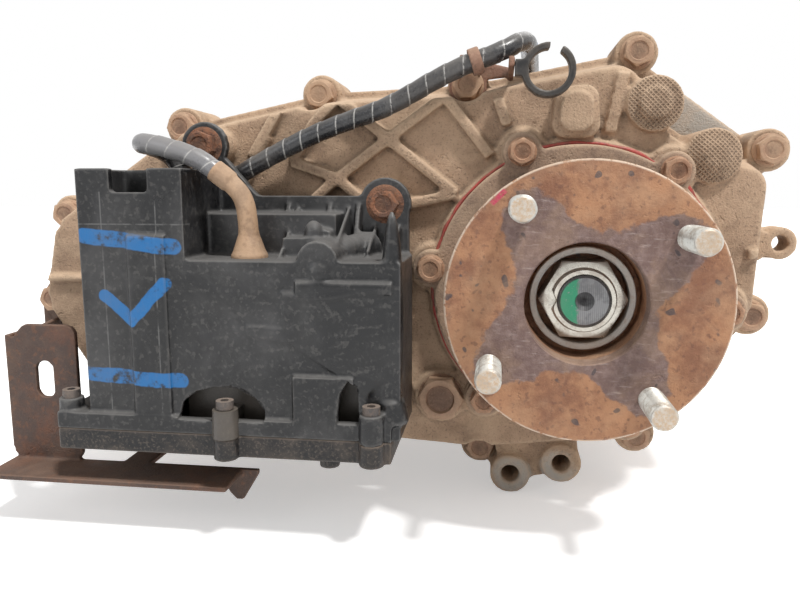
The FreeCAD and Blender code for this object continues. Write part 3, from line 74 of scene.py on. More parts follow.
# ------------------------------------------------------------------------------- shader node groups
class Graph:
    """A node tree with short calls for the nodes that the finishes use."""

    def __init__(self, tree: bpy.types.NodeTree) -> None:
        """Keep the tree.

        Args:
            tree: the shader or geometry node tree that new nodes go into.
        """
        self.tree = tree

    def add(self, kind: str, **settings: object) -> bpy.types.Node:
        """Add a node.

        Args:
            kind: the node's type name.
            settings: attributes to set on the node.

        Returns:
            The new node.
        """
        node = self.tree.nodes.new(kind)
        for key, value in settings.items():
            setattr(node, key, value)
        return node

    def feed(self, socket: bpy.types.NodeSocket, value: object) -> None:
        """Link a socket or set a plain value on an input.

        Args:
            socket: the input.
            value: an output socket, a number, a colour or a vector.
        """
        if isinstance(value, bpy.types.NodeSocket):
            self.tree.links.new(value, socket)
        elif isinstance(value, tuple) and len(value) == 3 and len(socket.default_value) == 4:
            socket.default_value = (*value, 1.0)
        else:
            socket.default_value = value

    def math(self, kind: str, first: object, second: object = 0.0, clamp: bool = False) -> Value:
        """A Math node's result.

        Args:
            kind: the operation.
            first: the first value.
            second: the second value.
            clamp: keep the result between 0 and 1.

        Returns:
            The result.
        """
        node = self.add("ShaderNodeMath", operation=kind, use_clamp=clamp)
        self.feed(node.inputs[0], first)
        self.feed(node.inputs[1], second)
        return node.outputs[0]

    def times(self, first: object, second: object) -> Value:
        """Two values multiplied."""
        return self.math("MULTIPLY", first, second)

    def plus(self, first: object, second: object, clamp: bool = False) -> Value:
        """Two values added."""
        return self.math("ADD", first, second, clamp)

    def minus(self, first: object, second: object) -> Value:
        """The second value taken from the first."""
        return self.math("SUBTRACT", first, second)

    def far(self, first: object, second: object) -> Value:
        """Distance of a point from the origin of its plane."""
        return self.math("SQRT", self.plus(self.times(first, first), self.times(second, second)))

    def mix(self, share: object, first: object, second: object) -> Value:
        """A colour between two colours.

        Args:
            share: 0 gives the first colour and 1 the second.
            first: the first colour.
            second: the second colour.

        Returns:
            The mixed colour.
        """
        node = self.add("ShaderNodeMix", data_type="RGBA")
        self.feed(node.inputs[0], share)
        self.feed(node.inputs[6], first)
        self.feed(node.inputs[7], second)
        return node.outputs[2]

    def span(self, value: object, low: float, high: float, start: object = 0.0, end: object = 1.0) -> Value:
        """A value carried smoothly from one range to another.

        Args:
            value: the input value.
            low: where the result begins to change.
            high: where it stops changing.
            start: the result at low.
            end: the result at high.

        Returns:
            The mapped value.
        """
        node = self.add("ShaderNodeMapRange", interpolation_type="SMOOTHSTEP")
        for index, item in enumerate((value, low, high, start, end)):
            self.feed(node.inputs[index], item)
        return node.outputs[0]

    def noise(self, vector: object, scale: object, detail: float = 4.0, roughness: float = 0.55,
              distortion: float = 0.0) -> Value:
        """The value of a noise texture.

        Args:
            vector: where it is read.
            scale: how many features there are to a metre.
            detail: octaves.
            roughness: weight of the finer octaves.
            distortion: how far the pattern is pulled about.

        Returns:
            The noise value.
        """
        node = self.add("ShaderNodeTexNoise")
        self.feed(node.inputs["Vector"], vector)
        self.feed(node.inputs["Scale"], scale)
        node.inputs["Detail"].default_value = detail
        node.inputs["Roughness"].default_value = roughness
        node.inputs["Distortion"].default_value = distortion
        return node.outputs[0]

    def place(self) -> Value:
        """Object coordinates."""
        return self.add("ShaderNodeTexCoord").outputs["Object"]

    def axes(self, vector: object) -> tuple[Value, ...]:
        """The three parts of a vector.

        Args:
            vector: the vector.

        Returns:
            X, Y and Z.
        """
        node = self.add("ShaderNodeSeparateXYZ")
        self.feed(node.inputs[0], vector)
        return tuple(node.outputs)


class Socket(Enum):
    """Kinds of socket on a shader node group."""

    VALUE = "NodeSocketFloat"
    COLOUR = "NodeSocketColor"


class SharedGroup:
    """A shader node group that several finishes use; it is built once."""

    name = "group"
    inputs: tuple[tuple[str, Socket, object], ...] = ()
    outputs: tuple[tuple[str, Socket], ...] = ()

    @classmethod
    def tree(cls) -> bpy.types.NodeTree:
        """The group's node tree, built on first use.

        Returns:
            The node tree.
        """
        found = bpy.data.node_groups.get(cls.name)
        if found:
            return found
        tree = bpy.data.node_groups.new(cls.name, "ShaderNodeTree")
        for label, kind, value in cls.inputs:
            socket = tree.interface.new_socket(label, in_out="INPUT", socket_type=kind.value)
            socket.default_value = (*value, 1.0) if kind is Socket.COLOUR else value
        for label, kind in cls.outputs:
            tree.interface.new_socket(label, in_out="OUTPUT", socket_type=kind.value)
        graph = Graph(tree)
        cls.build(graph, graph.add("NodeGroupInput").outputs, graph.add("NodeGroupOutput").inputs)
        return tree

    @classmethod
    def build(cls, graph: Graph, source: object, target: object) -> None:
        """Fill the group in; each group has its own."""
        raise NotImplementedError

    @classmethod
    def use(cls, graph: Graph, **values: object) -> bpy.types.Node:
        """Place the group in a material.

        Args:
            graph: the material's graph.
            values: the group's inputs by name, with _ for a space.

        Returns:
            The group node.
        """
        node = graph.add("ShaderNodeGroup", node_tree=cls.tree())
        for key, value in values.items():
            graph.feed(node.inputs[key.replace("_", " ")], value)
        return node


class Blotches(SharedGroup):
    """Soft patches of a second colour, large and small together."""

    name = "blotches"
    inputs = (("Scale", Socket.VALUE, 40.0), ("Low", Socket.VALUE, 0.45), ("High", Socket.VALUE, 0.6))
    outputs = (("Mask", Socket.VALUE), ("Fine", Socket.VALUE))

    @classmethod
    def build(cls, graph: Graph, source: object, target: object) -> None:
        """Two noises, the finer one eating into the edge of the coarser one."""
        place = graph.place()
        coarse = graph.noise(place, source["Scale"], 5.0, 0.6, 0.4)
        fine = graph.noise(place, graph.times(source["Scale"], 7.0), 4.0, 0.65)
        joined = graph.plus(graph.times(coarse, 0.72), graph.times(fine, 0.28))
        ramp = graph.add("ShaderNodeMapRange", interpolation_type="SMOOTHSTEP")
        graph.feed(ramp.inputs[0], joined)
        graph.feed(ramp.inputs[1], source["Low"])
        graph.feed(ramp.inputs[2], source["High"])
        graph.feed(target["Mask"], ramp.outputs[0])
        graph.feed(target["Fine"], fine)


class DustLay(SharedGroup):
    """Dust that settles on what faces up and drifts over the rest in clouds."""

    name = "dust_lay"
    inputs = (("Amount", Socket.VALUE, 0.5), ("Upward", Socket.VALUE, 0.6), ("Scale", Socket.VALUE, 30.0))
    outputs = (("Mask", Socket.VALUE),)

    @classmethod
    def build(cls, graph: Graph, source: object, target: object) -> None:
        """The normal's height and two noises."""
        up = graph.axes(graph.add("ShaderNodeNewGeometry").outputs["Normal"])[2]
        lying = graph.times(graph.span(up, 0.1, 0.95), source["Upward"])
        place = graph.place()
        cloud = graph.span(graph.noise(place, source["Scale"], 6.0, 0.62, 0.6), 0.42, 0.68)
        speck = graph.span(graph.noise(place, graph.times(source["Scale"], 22.0), 2.0), 0.5, 0.72)
        drift = graph.times(cloud, source["Amount"])
        flecks = graph.times(graph.times(speck, 0.45), source["Amount"])
        total = graph.plus(graph.plus(lying, drift), flecks, clamp=True)
        graph.feed(target["Mask"], total)


class Grain(SharedGroup):
    """Height of a cast, rusted or moulded skin."""

    name = "grain"
    inputs = (("Scale", Socket.VALUE, 900.0), ("Pits", Socket.VALUE, 0.3))
    outputs = (("Height", Socket.VALUE),)

    @classmethod
    def build(cls, graph: Graph, source: object, target: object) -> None:
        """Fine noise with scattered pits."""
        place = graph.place()
        fine = graph.noise(place, source["Scale"], 3.0, 0.6)
        broad = graph.noise(place, graph.times(source["Scale"], 0.22), 3.0, 0.6)
        pit = graph.span(broad, 0.28, 0.4)
        pits = graph.times(graph.minus(pit, 1.0), source["Pits"])
        graph.feed(target["Height"], graph.plus(fine, pits))


class Scratches(SharedGroup):
    """Thin random scuffs."""

    name = "scratches"
    inputs = (("Scale", Socket.VALUE, 60.0), ("Reach", Socket.VALUE, 0.02))
    outputs = (("Mask", Socket.VALUE),)

    @classmethod
    def build(cls, graph: Graph, source: object, target: object) -> None:
        """The narrow band where a stretched noise crosses its middle, broken up by a coarser one."""
        place = graph.place()
        streak = graph.noise(place, source["Scale"], 2.0, 0.5, 1.4)
        off = graph.math("ABSOLUTE", graph.minus(streak, 0.5))
        line = graph.math("LESS_THAN", off, graph.times(source["Reach"], 0.5))
        broken = graph.span(graph.noise(place, graph.times(source["Scale"], 1.7), 3.0), 0.52, 0.62)
        graph.feed(target["Mask"], graph.times(line, broken))


# ------------------------------------------------------------------------------- finishes
@dataclass(frozen=True)
class Finish:
    """A layered surface: a base with patches of a second colour, painted shade in its hollows, dust over
    it, grain under it.
    """

    name: str
    base: Colour
    second: Colour
    dust: Colour = (0.5, 0.36, 0.25)
    patch_scale: float = 45.0
    patch_low: float = 0.46
    patch_high: float = 0.6
    dust_amount: float = 0.35
    dust_upward: float = 0.5
    dust_scale: float = 35.0
    roughness: tuple[float, float] = (0.55, 0.85)
    metallic: float = 0.0
    grain_scale: float = 900.0
    grain_pits: float = 0.4
    grain_height: float = 0.25
    scuff: float = 0.0
    scuff_colour: Colour = (0.6, 0.6, 0.6)
    speck: float = 0.0
    speck_scale: float = 700.0
    speck_colour: Colour = (0.12, 0.08, 0.055)
    edge: float = 0.0
    # painted_cavity_shade: strength of the painted shade that darkens inward-curving hollows
    painted_cavity_shade: float = 0.0
    specular: float = 0.5

    def height(self, graph: Graph, grain: Value) -> Value:
        """Height of the skin; some finishes add a pattern here.

        Args:
            graph: the material's graph.
            grain: the height of the plain grain.

        Returns:
            The height.
        """
        return grain

    def colour(self, graph: Graph, ground: Value, fine: Value) -> Value:
        """Colour over the patches and under the dust; some finishes draw marks here.

        Args:
            graph: the material's graph.
            ground: the patched base colour.
            fine: a fine noise value.

        Returns:
            The colour.
        """
        return ground

    def dust_share(self, graph: Graph, mask: Value) -> Value:
        """The dust's mask, which a finish may thin in places."""
        return mask

    def material(self) -> bpy.types.Material:
        """The finish as a material, built once.

        Returns:
            The material.
        """
        found = bpy.data.materials.get(self.name)
        if found:
            return found
        made = bpy.data.materials.new(self.name)
        made.use_nodes = True
        graph = Graph(made.node_tree)
        shader = made.node_tree.nodes["Principled BSDF"]
        patches = Blotches.use(graph, Scale=self.patch_scale, Low=self.patch_low, High=self.patch_high)
        ground = graph.mix(patches.outputs["Mask"], self.base, self.second)
        if self.speck > 0:
            grit = graph.span(graph.noise(graph.place(), self.speck_scale, 2.0, 0.5), 0.56, 0.68)
            ground = graph.mix(graph.times(grit, self.speck), ground, self.speck_colour)
        colour = self.colour(graph, ground, patches.outputs["Fine"])
        if self.edge > 0 or self.painted_cavity_shade > 0:
            # Painted shade: where the surface curves inward (low pointiness) the colour is darkened towards
            # a dark version of the second colour, standing in for shade in hollows and creases; where it
            # curves outward it is lightened towards the dust colour.
            bend = graph.add("ShaderNodeNewGeometry").outputs["Pointiness"]
            hollow = graph.times(graph.span(bend, 0.495, 0.44), self.painted_cavity_shade)
            colour = graph.mix(hollow, colour, tuple(value * 0.35 for value in self.second))
            ridge = graph.times(graph.span(bend, 0.51, 0.57), self.edge)
            colour = graph.mix(ridge, colour, self.dust)
        if self.scuff > 0:
            scuffs = Scratches.use(graph, Scale=SCUFF_SCALE, Reach=self.scuff)
            colour = graph.mix(scuffs.outputs["Mask"], colour, self.scuff_colour)
        dusting = DustLay.use(graph, Amount=self.dust_amount, Upward=self.dust_upward,
                              Scale=self.dust_scale)
        dust = self.dust_share(graph, dusting.outputs["Mask"])
        graph.feed(shader.inputs["Base Color"], graph.mix(dust, colour, self.dust))
        low, high = self.roughness
        worn = graph.plus(graph.times(patches.outputs["Fine"], 0.5), dust, clamp=True)
        graph.feed(shader.inputs["Roughness"], graph.span(worn, 0.1, 0.9, low, high))
        shader.inputs["Specular IOR Level"].default_value = self.specular
        if self.metallic > 0:
            bare = graph.minus(1.0, graph.times(dust, 0.9))
            graph.feed(shader.inputs["Metallic"], graph.times(bare, self.metallic))
        grain = Grain.use(graph, Scale=self.grain_scale, Pits=self.grain_pits)
        bump = graph.add("ShaderNodeBump")
        bump.inputs["Strength"].default_value = self.grain_height
        bump.inputs["Distance"].default_value = GRAIN_DEPTH
        graph.feed(bump.inputs["Height"], self.height(graph, grain.outputs["Height"]))
        graph.feed(shader.inputs["Normal"], bump.outputs["Normal"])
        return made


@dataclass(frozen=True)
class FlangeFinish(Finish):
    """Rust on a flange, rubbed to dark steel in a star that reaches the studs."""

    worn: Colour = (0.125, 0.08, 0.075)
    rim: Colour = (0.62, 0.5, 0.4)
    zinc: Colour = (0.5, 0.48, 0.45)
    lip: float = 0.0249
    mark: tuple[float, float] = (-0.0405, 0.048)
    turn: float = 35.0
    reach: tuple[float, float] = (0.033, 0.06)
    centre_x: float = 0.0

    def colour(self, graph: Graph, ground: Value, fine: Value) -> Value:
        """The star, dark spots and the bright edge of the rim."""
        place = graph.place()
        x, y, z = graph.axes(place)
        x = graph.minus(x, self.centre_x)
        angle = graph.math("ARCTAN2", z, x)
        turned = graph.times(graph.minus(angle, math.radians(self.turn)), 4.0)
        lobe = graph.times(graph.plus(graph.math("COSINE", turned), 1.0), 0.5)
        lobe = graph.math("POWER", lobe, 1.6)
        far = graph.far(x, z)
        ragged = graph.times(graph.minus(graph.noise(place, 70.0, 5.0, 0.6), 0.5), 0.022)
        low, high = self.reach
        edge = graph.plus(graph.times(lobe, high - low), low)
        inside = graph.minus(graph.plus(edge, ragged), far)
        star = graph.times(graph.span(inside, -0.0012, 0.0012), 0.92)
        front = graph.span(y, 0.011, 0.0095)
        star = graph.times(star, front)
        streak = graph.add("ShaderNodeMapping")
        graph.feed(streak.inputs["Vector"], place)
        streak.inputs["Rotation"].default_value = (0.0, math.radians(50.0), 0.0)
        streak.inputs["Scale"].default_value = (0.18, 1.0, 1.0)
        rubbed = graph.noise(streak.outputs[0], 620.0, 3.0, 0.6)
        mottled = graph.mix(graph.span(fine, 0.42, 0.66), self.worn, (0.2, 0.14, 0.13))
        mottled = graph.mix(graph.span(rubbed, 0.56, 0.74, 0.0, 0.7), mottled, (0.36, 0.3, 0.28))
        colour = graph.mix(star, ground, mottled)
        spots = graph.span(graph.noise(place, 150.0, 1.0, 0.4), 0.69, 0.73)
        colour = graph.mix(graph.times(spots, 0.85), colour, (0.05, 0.04, 0.045))
        bright = graph.times(graph.span(far, 0.0637, 0.0646), graph.span(fine, 0.38, 0.5))
        colour = graph.mix(bright, colour, self.rim)
        lip = graph.times(graph.span(far, self.lip + 0.0004, self.lip), graph.span(y, 0.026, 0.018))
        colour = graph.mix(graph.times(lip, graph.span(fine, 0.2, 0.5, 0.55, 1.0)), colour, self.zinc)
        mx, mz = self.mark
        dx, dz = graph.minus(x, mx), graph.minus(z, mz)
        long = graph.math("ABSOLUTE", graph.plus(dx, dz))
        wide = graph.math("ABSOLUTE", graph.minus(dx, dz))
        red = graph.times(graph.span(long, 0.007, 0.005), graph.span(wide, 0.0022, 0.0012))
        red = graph.times(graph.times(red, front), graph.span(fine, 0.36, 0.5))
        return graph.mix(red, colour, (0.45, 0.04, 0.09))


@dataclass(frozen=True)
class MarkedFinish(Finish):
    """A finish with strokes of paint, each a soft-edged line between two points of a plane."""

    strokes: tuple[tuple[float, float, float, float, float], ...] = ()
    paint: Colour = (0.02, 0.16, 0.4)
    depth: tuple[float, float] = (-1.0, 1.0)
    cover: float = 0.85
    lines: tuple[tuple[float, float, float, float], ...] = ()
    line_colour: Colour = (0.2, 0.195, 0.19)

    def near(self, graph: Graph, x: object, z: object, ends: tuple[float, ...]) -> Value:
        """Distance from a line between two points.

        Args:
            graph: the material's graph.
            x: where along X.
            z: where along Z.
            ends: X and Z of the first end, then of the second.

        Returns:
            The distance in metres.
        """
        x0, z0, x1, z1 = ends
        dx, dz = x1 - x0, z1 - z0
        length = dx * dx + dz * dz
        px, pz = graph.minus(x, x0), graph.minus(z, z0)
        along = graph.plus(graph.times(px, dx / length),
                           graph.times(pz, dz / length), clamp=True)
        ox = graph.minus(px, graph.times(along, dx))
        oz = graph.minus(pz, graph.times(along, dz))
        return graph.far(ox, oz)

    def colour(self, graph: Graph, ground: Value, fine: Value) -> Value:
        """The strokes, worn by a fine noise."""
        place = graph.place()
        x, y, z = graph.axes(place)
        ragged = graph.times(graph.minus(graph.noise(place, 110.0, 3.0, 0.5), 0.5), 0.0022)
        colour = ground
        within = graph.times(graph.math("GREATER_THAN", y, self.depth[0]),
                            graph.math("LESS_THAN", y, self.depth[1]))
        wear = graph.times(graph.span(fine, 0.33, 0.5), self.cover)
        for ends in self.lines:
            thin = graph.span(self.near(graph, x, z, ends), 0.00045, 0.0002)
            broken = graph.times(graph.times(thin, within), graph.span(fine, 0.35, 0.55))
            colour = graph.mix(graph.times(broken, 0.8), colour, self.line_colour)
        for x0, z0, x1, z1, half in self.strokes:
            away = self.near(graph, x, z, (x0, z0, x1, z1))
            mask = graph.span(graph.plus(away, ragged), half, half * 0.8)
            mask = graph.times(graph.times(mask, within), wear)
            colour = graph.mix(mask, colour, self.paint)
        return colour


@dataclass(frozen=True)
class CastFinish(Finish):
    """Dusty cast skin with cross-hatched faces and places that were rubbed or wiped clean."""

    hatched: tuple[tuple[float, float, float], ...] = ()
    hatch_depth: float = 0.064
    hatch_step: float = 0.0017
    clean: tuple[tuple[float, float, float, float, float, float], ...] = ()
    clean_colour: Colour = (0.43, 0.42, 0.39)

    def hatch(self, graph: Graph) -> Value:
        """Crossing grooves inside the hatched circles.

        Args:
            graph: the material's graph.

        Returns:
            1 on the ridges, 0 in the grooves and 0.6 elsewhere.
        """
        x, y, z = graph.axes(graph.place())
        inside = graph.times(0.0, 0.0)
        for cx, cz, radius in self.hatched:
            dx, dz = graph.minus(x, cx), graph.minus(z, cz)
            far = graph.far(dx, dz)
            inside = graph.math("MAXIMUM", inside, graph.span(far, radius, radius * 0.93))
        inside = graph.times(inside, graph.span(y, self.hatch_depth, self.hatch_depth - 0.003))
        turn = 2 * math.pi / self.hatch_step / math.sqrt(2)
        one = graph.math("SINE", graph.times(graph.plus(x, z), turn))
        two = graph.math("SINE", graph.times(graph.minus(x, z), turn))
        woven = graph.plus(graph.times(graph.math("MAXIMUM", one, two), 0.5), 0.5)
        plain = graph.times(graph.minus(1.0, inside), 0.6)
        return graph.plus(graph.times(inside, woven), plain)

    def height(self, graph: Graph, grain: Value) -> Value:
        """The grain with the hatching over it."""
        return graph.plus(grain, graph.times(self.hatch(graph), 1.6))

    def colour(self, graph: Graph, ground: Value, fine: Value) -> Value:
        """Dark grooves, and grey metal in the clean places."""
        dark = graph.span(self.hatch(graph), 0.45, 0.1)
        colour = graph.mix(graph.times(dark, 0.6), ground, self.speck_colour)
        place = graph.place()
        ragged = graph.times(graph.minus(graph.noise(place, 60.0, 5.0, 0.65), 0.5), 0.9)
        for cx, cy, cz, rx, ry, rz in self.clean:
            shift = graph.add("ShaderNodeVectorMath", operation="SUBTRACT")
            graph.feed(shift.inputs[0], place)
            shift.inputs[1].default_value = (cx, cy, cz)
            scale = graph.add("ShaderNodeVectorMath", operation="MULTIPLY")
            graph.feed(scale.inputs[0], shift.outputs[0])
            scale.inputs[1].default_value = (1 / rx, 1 / ry, 1 / rz)
            size = graph.add("ShaderNodeVectorMath", operation="LENGTH")
            graph.feed(size.inputs[0], scale.outputs[0])
            mask = graph.span(graph.plus(size.outputs["Value"], ragged), 1.05, 0.75)
            colour = graph.mix(graph.times(mask, 0.8), colour, self.clean_colour)
        return colour

    def dust_share(self, graph: Graph, mask: Value) -> Value:
        """Less dust in the grooves."""
        return graph.times(mask, graph.span(self.hatch(graph), 0.1, 0.5))


@dataclass(frozen=True)
class StudFinish(Finish):
    """Galvanised shanks whose tips are caked with dust."""

    tip: Colour = (0.46, 0.33, 0.22)
    tip_at: float = -0.0264

    def colour(self, graph: Graph, ground: Value, fine: Value) -> Value:
        """Tan beyond the tip's edge."""
        y = graph.axes(graph.place())[1]
        near = graph.span(graph.plus(y, graph.times(fine, 0.002)), self.tip_at, self.tip_at - 0.001)
        return graph.mix(near, ground, self.tip)


@dataclass(frozen=True)
class ShaftFinish(Finish):
    """Turned steel with paint on one side of its end."""

    paint: Colour = (0.03, 0.2, 0.11)
    reach: float = 0.0118
    line_step: float = 0.0009

    def colour(self, graph: Graph, ground: Value, fine: Value) -> Value:
        """Dark lines across the end, then the paint."""
        x, y, z = graph.axes(graph.place())
        wave = graph.math("SINE", graph.times(x, 2 * math.pi / self.line_step))
        colour = graph.mix(graph.span(wave, -0.2, 0.9, 0.0, 0.45), ground, (0.07, 0.07, 0.075))
        far = graph.far(x, z)
        side = graph.span(graph.plus(x, graph.times(fine, 0.006)), 0.0005, -0.001)
        side = graph.times(side, graph.span(far, self.reach, self.reach - 0.0012))
        side = graph.times(side, graph.span(y, 0.0088, 0.0083))
        return graph.mix(graph.times(side, graph.span(fine, 0.3, 0.42)), colour, self.paint)


@dataclass(frozen=True)
class WrapFinish(Finish):
    """Tape wound on a loom; its own UV runs along the loom in metres and once around it."""

    pitch: float = 0.0102
    line: Colour = (0.5, 0.49, 0.47)
    grey_until: float = 0.07
    grey: Colour = (0.19, 0.19, 0.2)
    blue_from: float = 0.0
    blue_to: float = 0.0
    blue: Colour = (0.03, 0.1, 0.3)

    def colour(self, graph: Graph, ground: Value, fine: Value) -> Value:
        """Grey near the boot, a blue bit near the clip, and the pale edge of each turn."""
        uv = graph.add("ShaderNodeUVMap", uv_map="wrap").outputs[0]
        along, around, _ = graph.axes(uv)
        colour = graph.mix(graph.span(along, self.grey_until + 0.002, self.grey_until - 0.002), ground,
                           self.grey)
        taped = graph.times(graph.span(along, self.blue_from, self.blue_from + 0.002),
                           graph.span(along, self.blue_to, self.blue_to - 0.002))
        colour = graph.mix(graph.times(taped, graph.span(fine, 0.4, 0.55)), colour, self.blue)
        turn = graph.math("FRACT", graph.plus(graph.math("DIVIDE", along, self.pitch), around))
        line = graph.times(graph.span(turn, 0.9, 0.97), graph.span(fine, 0.36, 0.5))
        return graph.mix(graph.times(line, 0.75), colour, self.line)


CAST = CastFinish(
    "dusty_casting", (0.42, 0.285, 0.19), (0.25, 0.165, 0.108), (0.6, 0.44, 0.305), patch_scale=24.0,
    patch_low=0.42, patch_high=0.62, dust_amount=0.4, dust_upward=0.5, roughness=(0.75, 0.97),
    grain_scale=900.0, grain_pits=0.8, grain_height=1.0, speck=0.6, speck_scale=900.0, edge=0.8, painted_cavity_shade=0.9,
    hatched=((0.0363, 0.094, 0.0138), (0.0665, 0.068, 0.0138)),
    clean=((0.078, 0.112, 0.099, 0.034, 0.03, 0.022), (-0.017, 0.07, -0.112, 0.03, 0.006, 0.02)))
RETAINER = CastFinish(
    "retainer_casting", (0.33, 0.22, 0.15), (0.18, 0.12, 0.088), (0.52, 0.38, 0.265), patch_scale=32.0,
    patch_low=0.42, patch_high=0.62, dust_amount=0.45, dust_upward=0.45, roughness=(0.7, 0.96),
    grain_scale=900.0, grain_pits=0.7, grain_height=0.9, speck=0.6, speck_scale=850.0, edge=0.7, painted_cavity_shade=0.9)
BOLT = Finish("dusty_bolt", (0.34, 0.2, 0.13), (0.2, 0.11, 0.07), (0.53, 0.37, 0.25), patch_scale=110.0,
              dust_amount=0.55, dust_upward=0.5, roughness=(0.6, 0.9), metallic=0.15, grain_height=0.45,
              speck=0.45, edge=0.5, painted_cavity_shade=0.7)
RETAINER_BOLT = Finish("rust_tinged_bolt", (0.36, 0.19, 0.11), (0.22, 0.1, 0.055), (0.5, 0.33, 0.22),
                       patch_scale=130.0, dust_amount=0.45, dust_upward=0.4, roughness=(0.6, 0.92),
                       metallic=0.15,
                       grain_height=0.55, speck=0.5, edge=0.4, painted_cavity_shade=0.75)
RUSTY_BOLT = Finish("rusty_bolt", (0.24, 0.1, 0.05), (0.1, 0.05, 0.035), (0.38, 0.21, 0.13),
                    patch_scale=210.0,
                    patch_low=0.42, patch_high=0.58, dust_amount=0.35, dust_upward=0.2, roughness=(0.65,
                                                                                                   0.95),
                    metallic=0.15, grain_scale=700.0, grain_pits=1.0, grain_height=1.0, speck=0.6,
                    painted_cavity_shade=0.8)
DARK_SCREW = Finish("dark_screw", (0.06, 0.055, 0.055), (0.1, 0.08, 0.07), (0.28, 0.22, 0.18),
                    patch_scale=150.0,
                    dust_amount=0.4, dust_upward=0.5, roughness=(0.5, 0.8), metallic=0.3, grain_height=0.3)
FLANGE = FlangeFinish("rear_flange_rust", (0.37, 0.185, 0.095), (0.2, 0.085, 0.045), (0.5, 0.34, 0.22),
                      patch_scale=34.0, patch_low=0.4, patch_high=0.62, dust_amount=0.22, dust_upward=0.25,
                      dust_scale=55.0, roughness=(0.55, 0.92), metallic=0.15, grain_scale=900.0,
                      grain_pits=0.8,
                      grain_height=0.7, speck=0.6, speck_scale=330.0, speck_colour=(0.13, 0.055, 0.035))
FRONT_FLANGE = FlangeFinish("front_flange_rust", (0.3, 0.15, 0.085), (0.19, 0.09, 0.055), (0.5, 0.34, 0.24),
                            patch_scale=60.0, dust_amount=0.2, dust_upward=0.4, roughness=(0.5, 0.9),
                            metallic=0.25,
                            grain_height=0.35, reach=(0.028, 0.05), centre_x=FRONT_AXIS_X)
ZINC = Finish("zinc_plate", (0.5, 0.48, 0.43), (0.36, 0.33, 0.29), (0.5, 0.4, 0.3), patch_scale=130.0,
              dust_amount=0.15, dust_upward=0.1, roughness=(0.25, 0.55), metallic=0.85, grain_height=0.12)
STUD = StudFinish("galvanised_stud", (0.56, 0.56, 0.53), (0.36, 0.33, 0.29), (0.46, 0.35, 0.25),
                  patch_scale=120.0, dust_amount=0.3, dust_upward=0.1, roughness=(0.4, 0.7), metallic=0.45,
                  grain_height=0.3, speck=0.25)
FRONT_STUD = StudFinish("front_stud", (0.5, 0.49, 0.46), (0.33, 0.3, 0.27), (0.46, 0.35, 0.25),
                        patch_scale=120.0,
                        dust_amount=0.3, dust_upward=0.1, roughness=(0.4, 0.7), metallic=0.45,
                        grain_height=0.3,
                        tip_at=-1.0)
SHAFT = ShaftFinish("turned_shaft", (0.2, 0.2, 0.205), (0.13, 0.13, 0.135), (0.3, 0.25, 0.2),
                    patch_scale=90.0,
                    dust_amount=0.12, dust_upward=0.0, roughness=(0.3, 0.55), metallic=0.6,
                    grain_height=0.15)
STEEL = Finish("machined_steel", (0.45, 0.45, 0.46), (0.34, 0.34, 0.35), (0.3, 0.27, 0.22),
               patch_scale=60.0,
               dust_amount=0.05, dust_upward=0.0, roughness=(0.2, 0.42), metallic=0.95, grain_height=0.06)
GUARD = Finish("rusted_sheet", (0.055, 0.033, 0.026), (0.12, 0.05, 0.028), (0.22, 0.14, 0.1),
               patch_scale=30.0,
               patch_low=0.44, patch_high=0.66, dust_amount=0.3, dust_upward=0.3, roughness=(0.5, 0.88),
               metallic=0.2, grain_scale=1000.0, grain_pits=0.8, grain_height=0.6, speck=0.5,
               speck_scale=300.0,
               speck_colour=(0.14, 0.06, 0.03), edge=0.6)
TAB = Finish("rusted_bracket", (0.24, 0.125, 0.085), (0.13, 0.065, 0.045), (0.42, 0.28, 0.2),
             patch_scale=70.0,
             dust_amount=0.35, dust_upward=0.3, roughness=(0.6, 0.92), metallic=0.15, grain_scale=800.0,
             grain_pits=0.8, grain_height=0.7, speck=0.6, speck_scale=400.0)
HOUSING = MarkedFinish(
    "black_housing", (0.0065, 0.0068, 0.008), (0.02, 0.0205, 0.0235), (0.15, 0.145, 0.14), patch_scale=16.0,
    patch_low=0.46, patch_high=0.68, dust_amount=0.2, dust_upward=0.55, dust_scale=16.0, roughness=(0.26,
                                                                                                    0.66),
    grain_scale=1500.0, grain_pits=0.1, grain_height=0.12, speck=0.3, speck_scale=360.0,
    speck_colour=(0.1, 0.095, 0.09), edge=0.6, specular=0.4,
    strokes=((-0.2375, 0.0295, -0.192, 0.0245, 0.0042), (-0.2375, -0.0385, -0.191, -0.0405, 0.004),
             (-0.2285, 0.0005, -0.2145, -0.011, 0.0034), (-0.2145, -0.011, -0.197, 0.007, 0.0034)),
    paint=(0.007, 0.13, 0.36), depth=(-0.02, 0.0), cover=0.92,
    lines=((-0.228, -0.056, -0.228, 0.05), (-0.2005, -0.056, -0.2005, 0.046), (-0.24, 0.035, -0.187,
                                                                               0.035)),
    line_colour=(0.1, 0.1, 0.1))
BLACK = Finish("black_plastic", (0.012, 0.0125, 0.014), (0.022, 0.022, 0.025), (0.2, 0.17, 0.14),
               patch_scale=60.0, dust_amount=0.18, dust_upward=0.25, roughness=(0.3, 0.65),
               grain_scale=1500.0,
               grain_height=0.1, edge=0.3, specular=0.35)
COVER = Finish("black_cover", (0.011, 0.0112, 0.0125), (0.024, 0.022, 0.021), (0.19, 0.15, 0.12),
               patch_scale=30.0, dust_amount=0.3, dust_upward=0.6, roughness=(0.3, 0.75),
               grain_scale=1500.0,
               grain_height=0.15, speck=0.3, speck_colour=(0.15, 0.12, 0.1), edge=0.4, specular=0.3)
WRAP = WrapFinish("black_wrap", (0.012, 0.0125, 0.015), (0.03, 0.031, 0.035), (0.24, 0.22, 0.2),
                  patch_scale=80.0,
                  dust_amount=0.22, dust_upward=0.25, roughness=(0.22, 0.5), grain_height=0.15,
                  blue_from=0.318, blue_to=0.332)
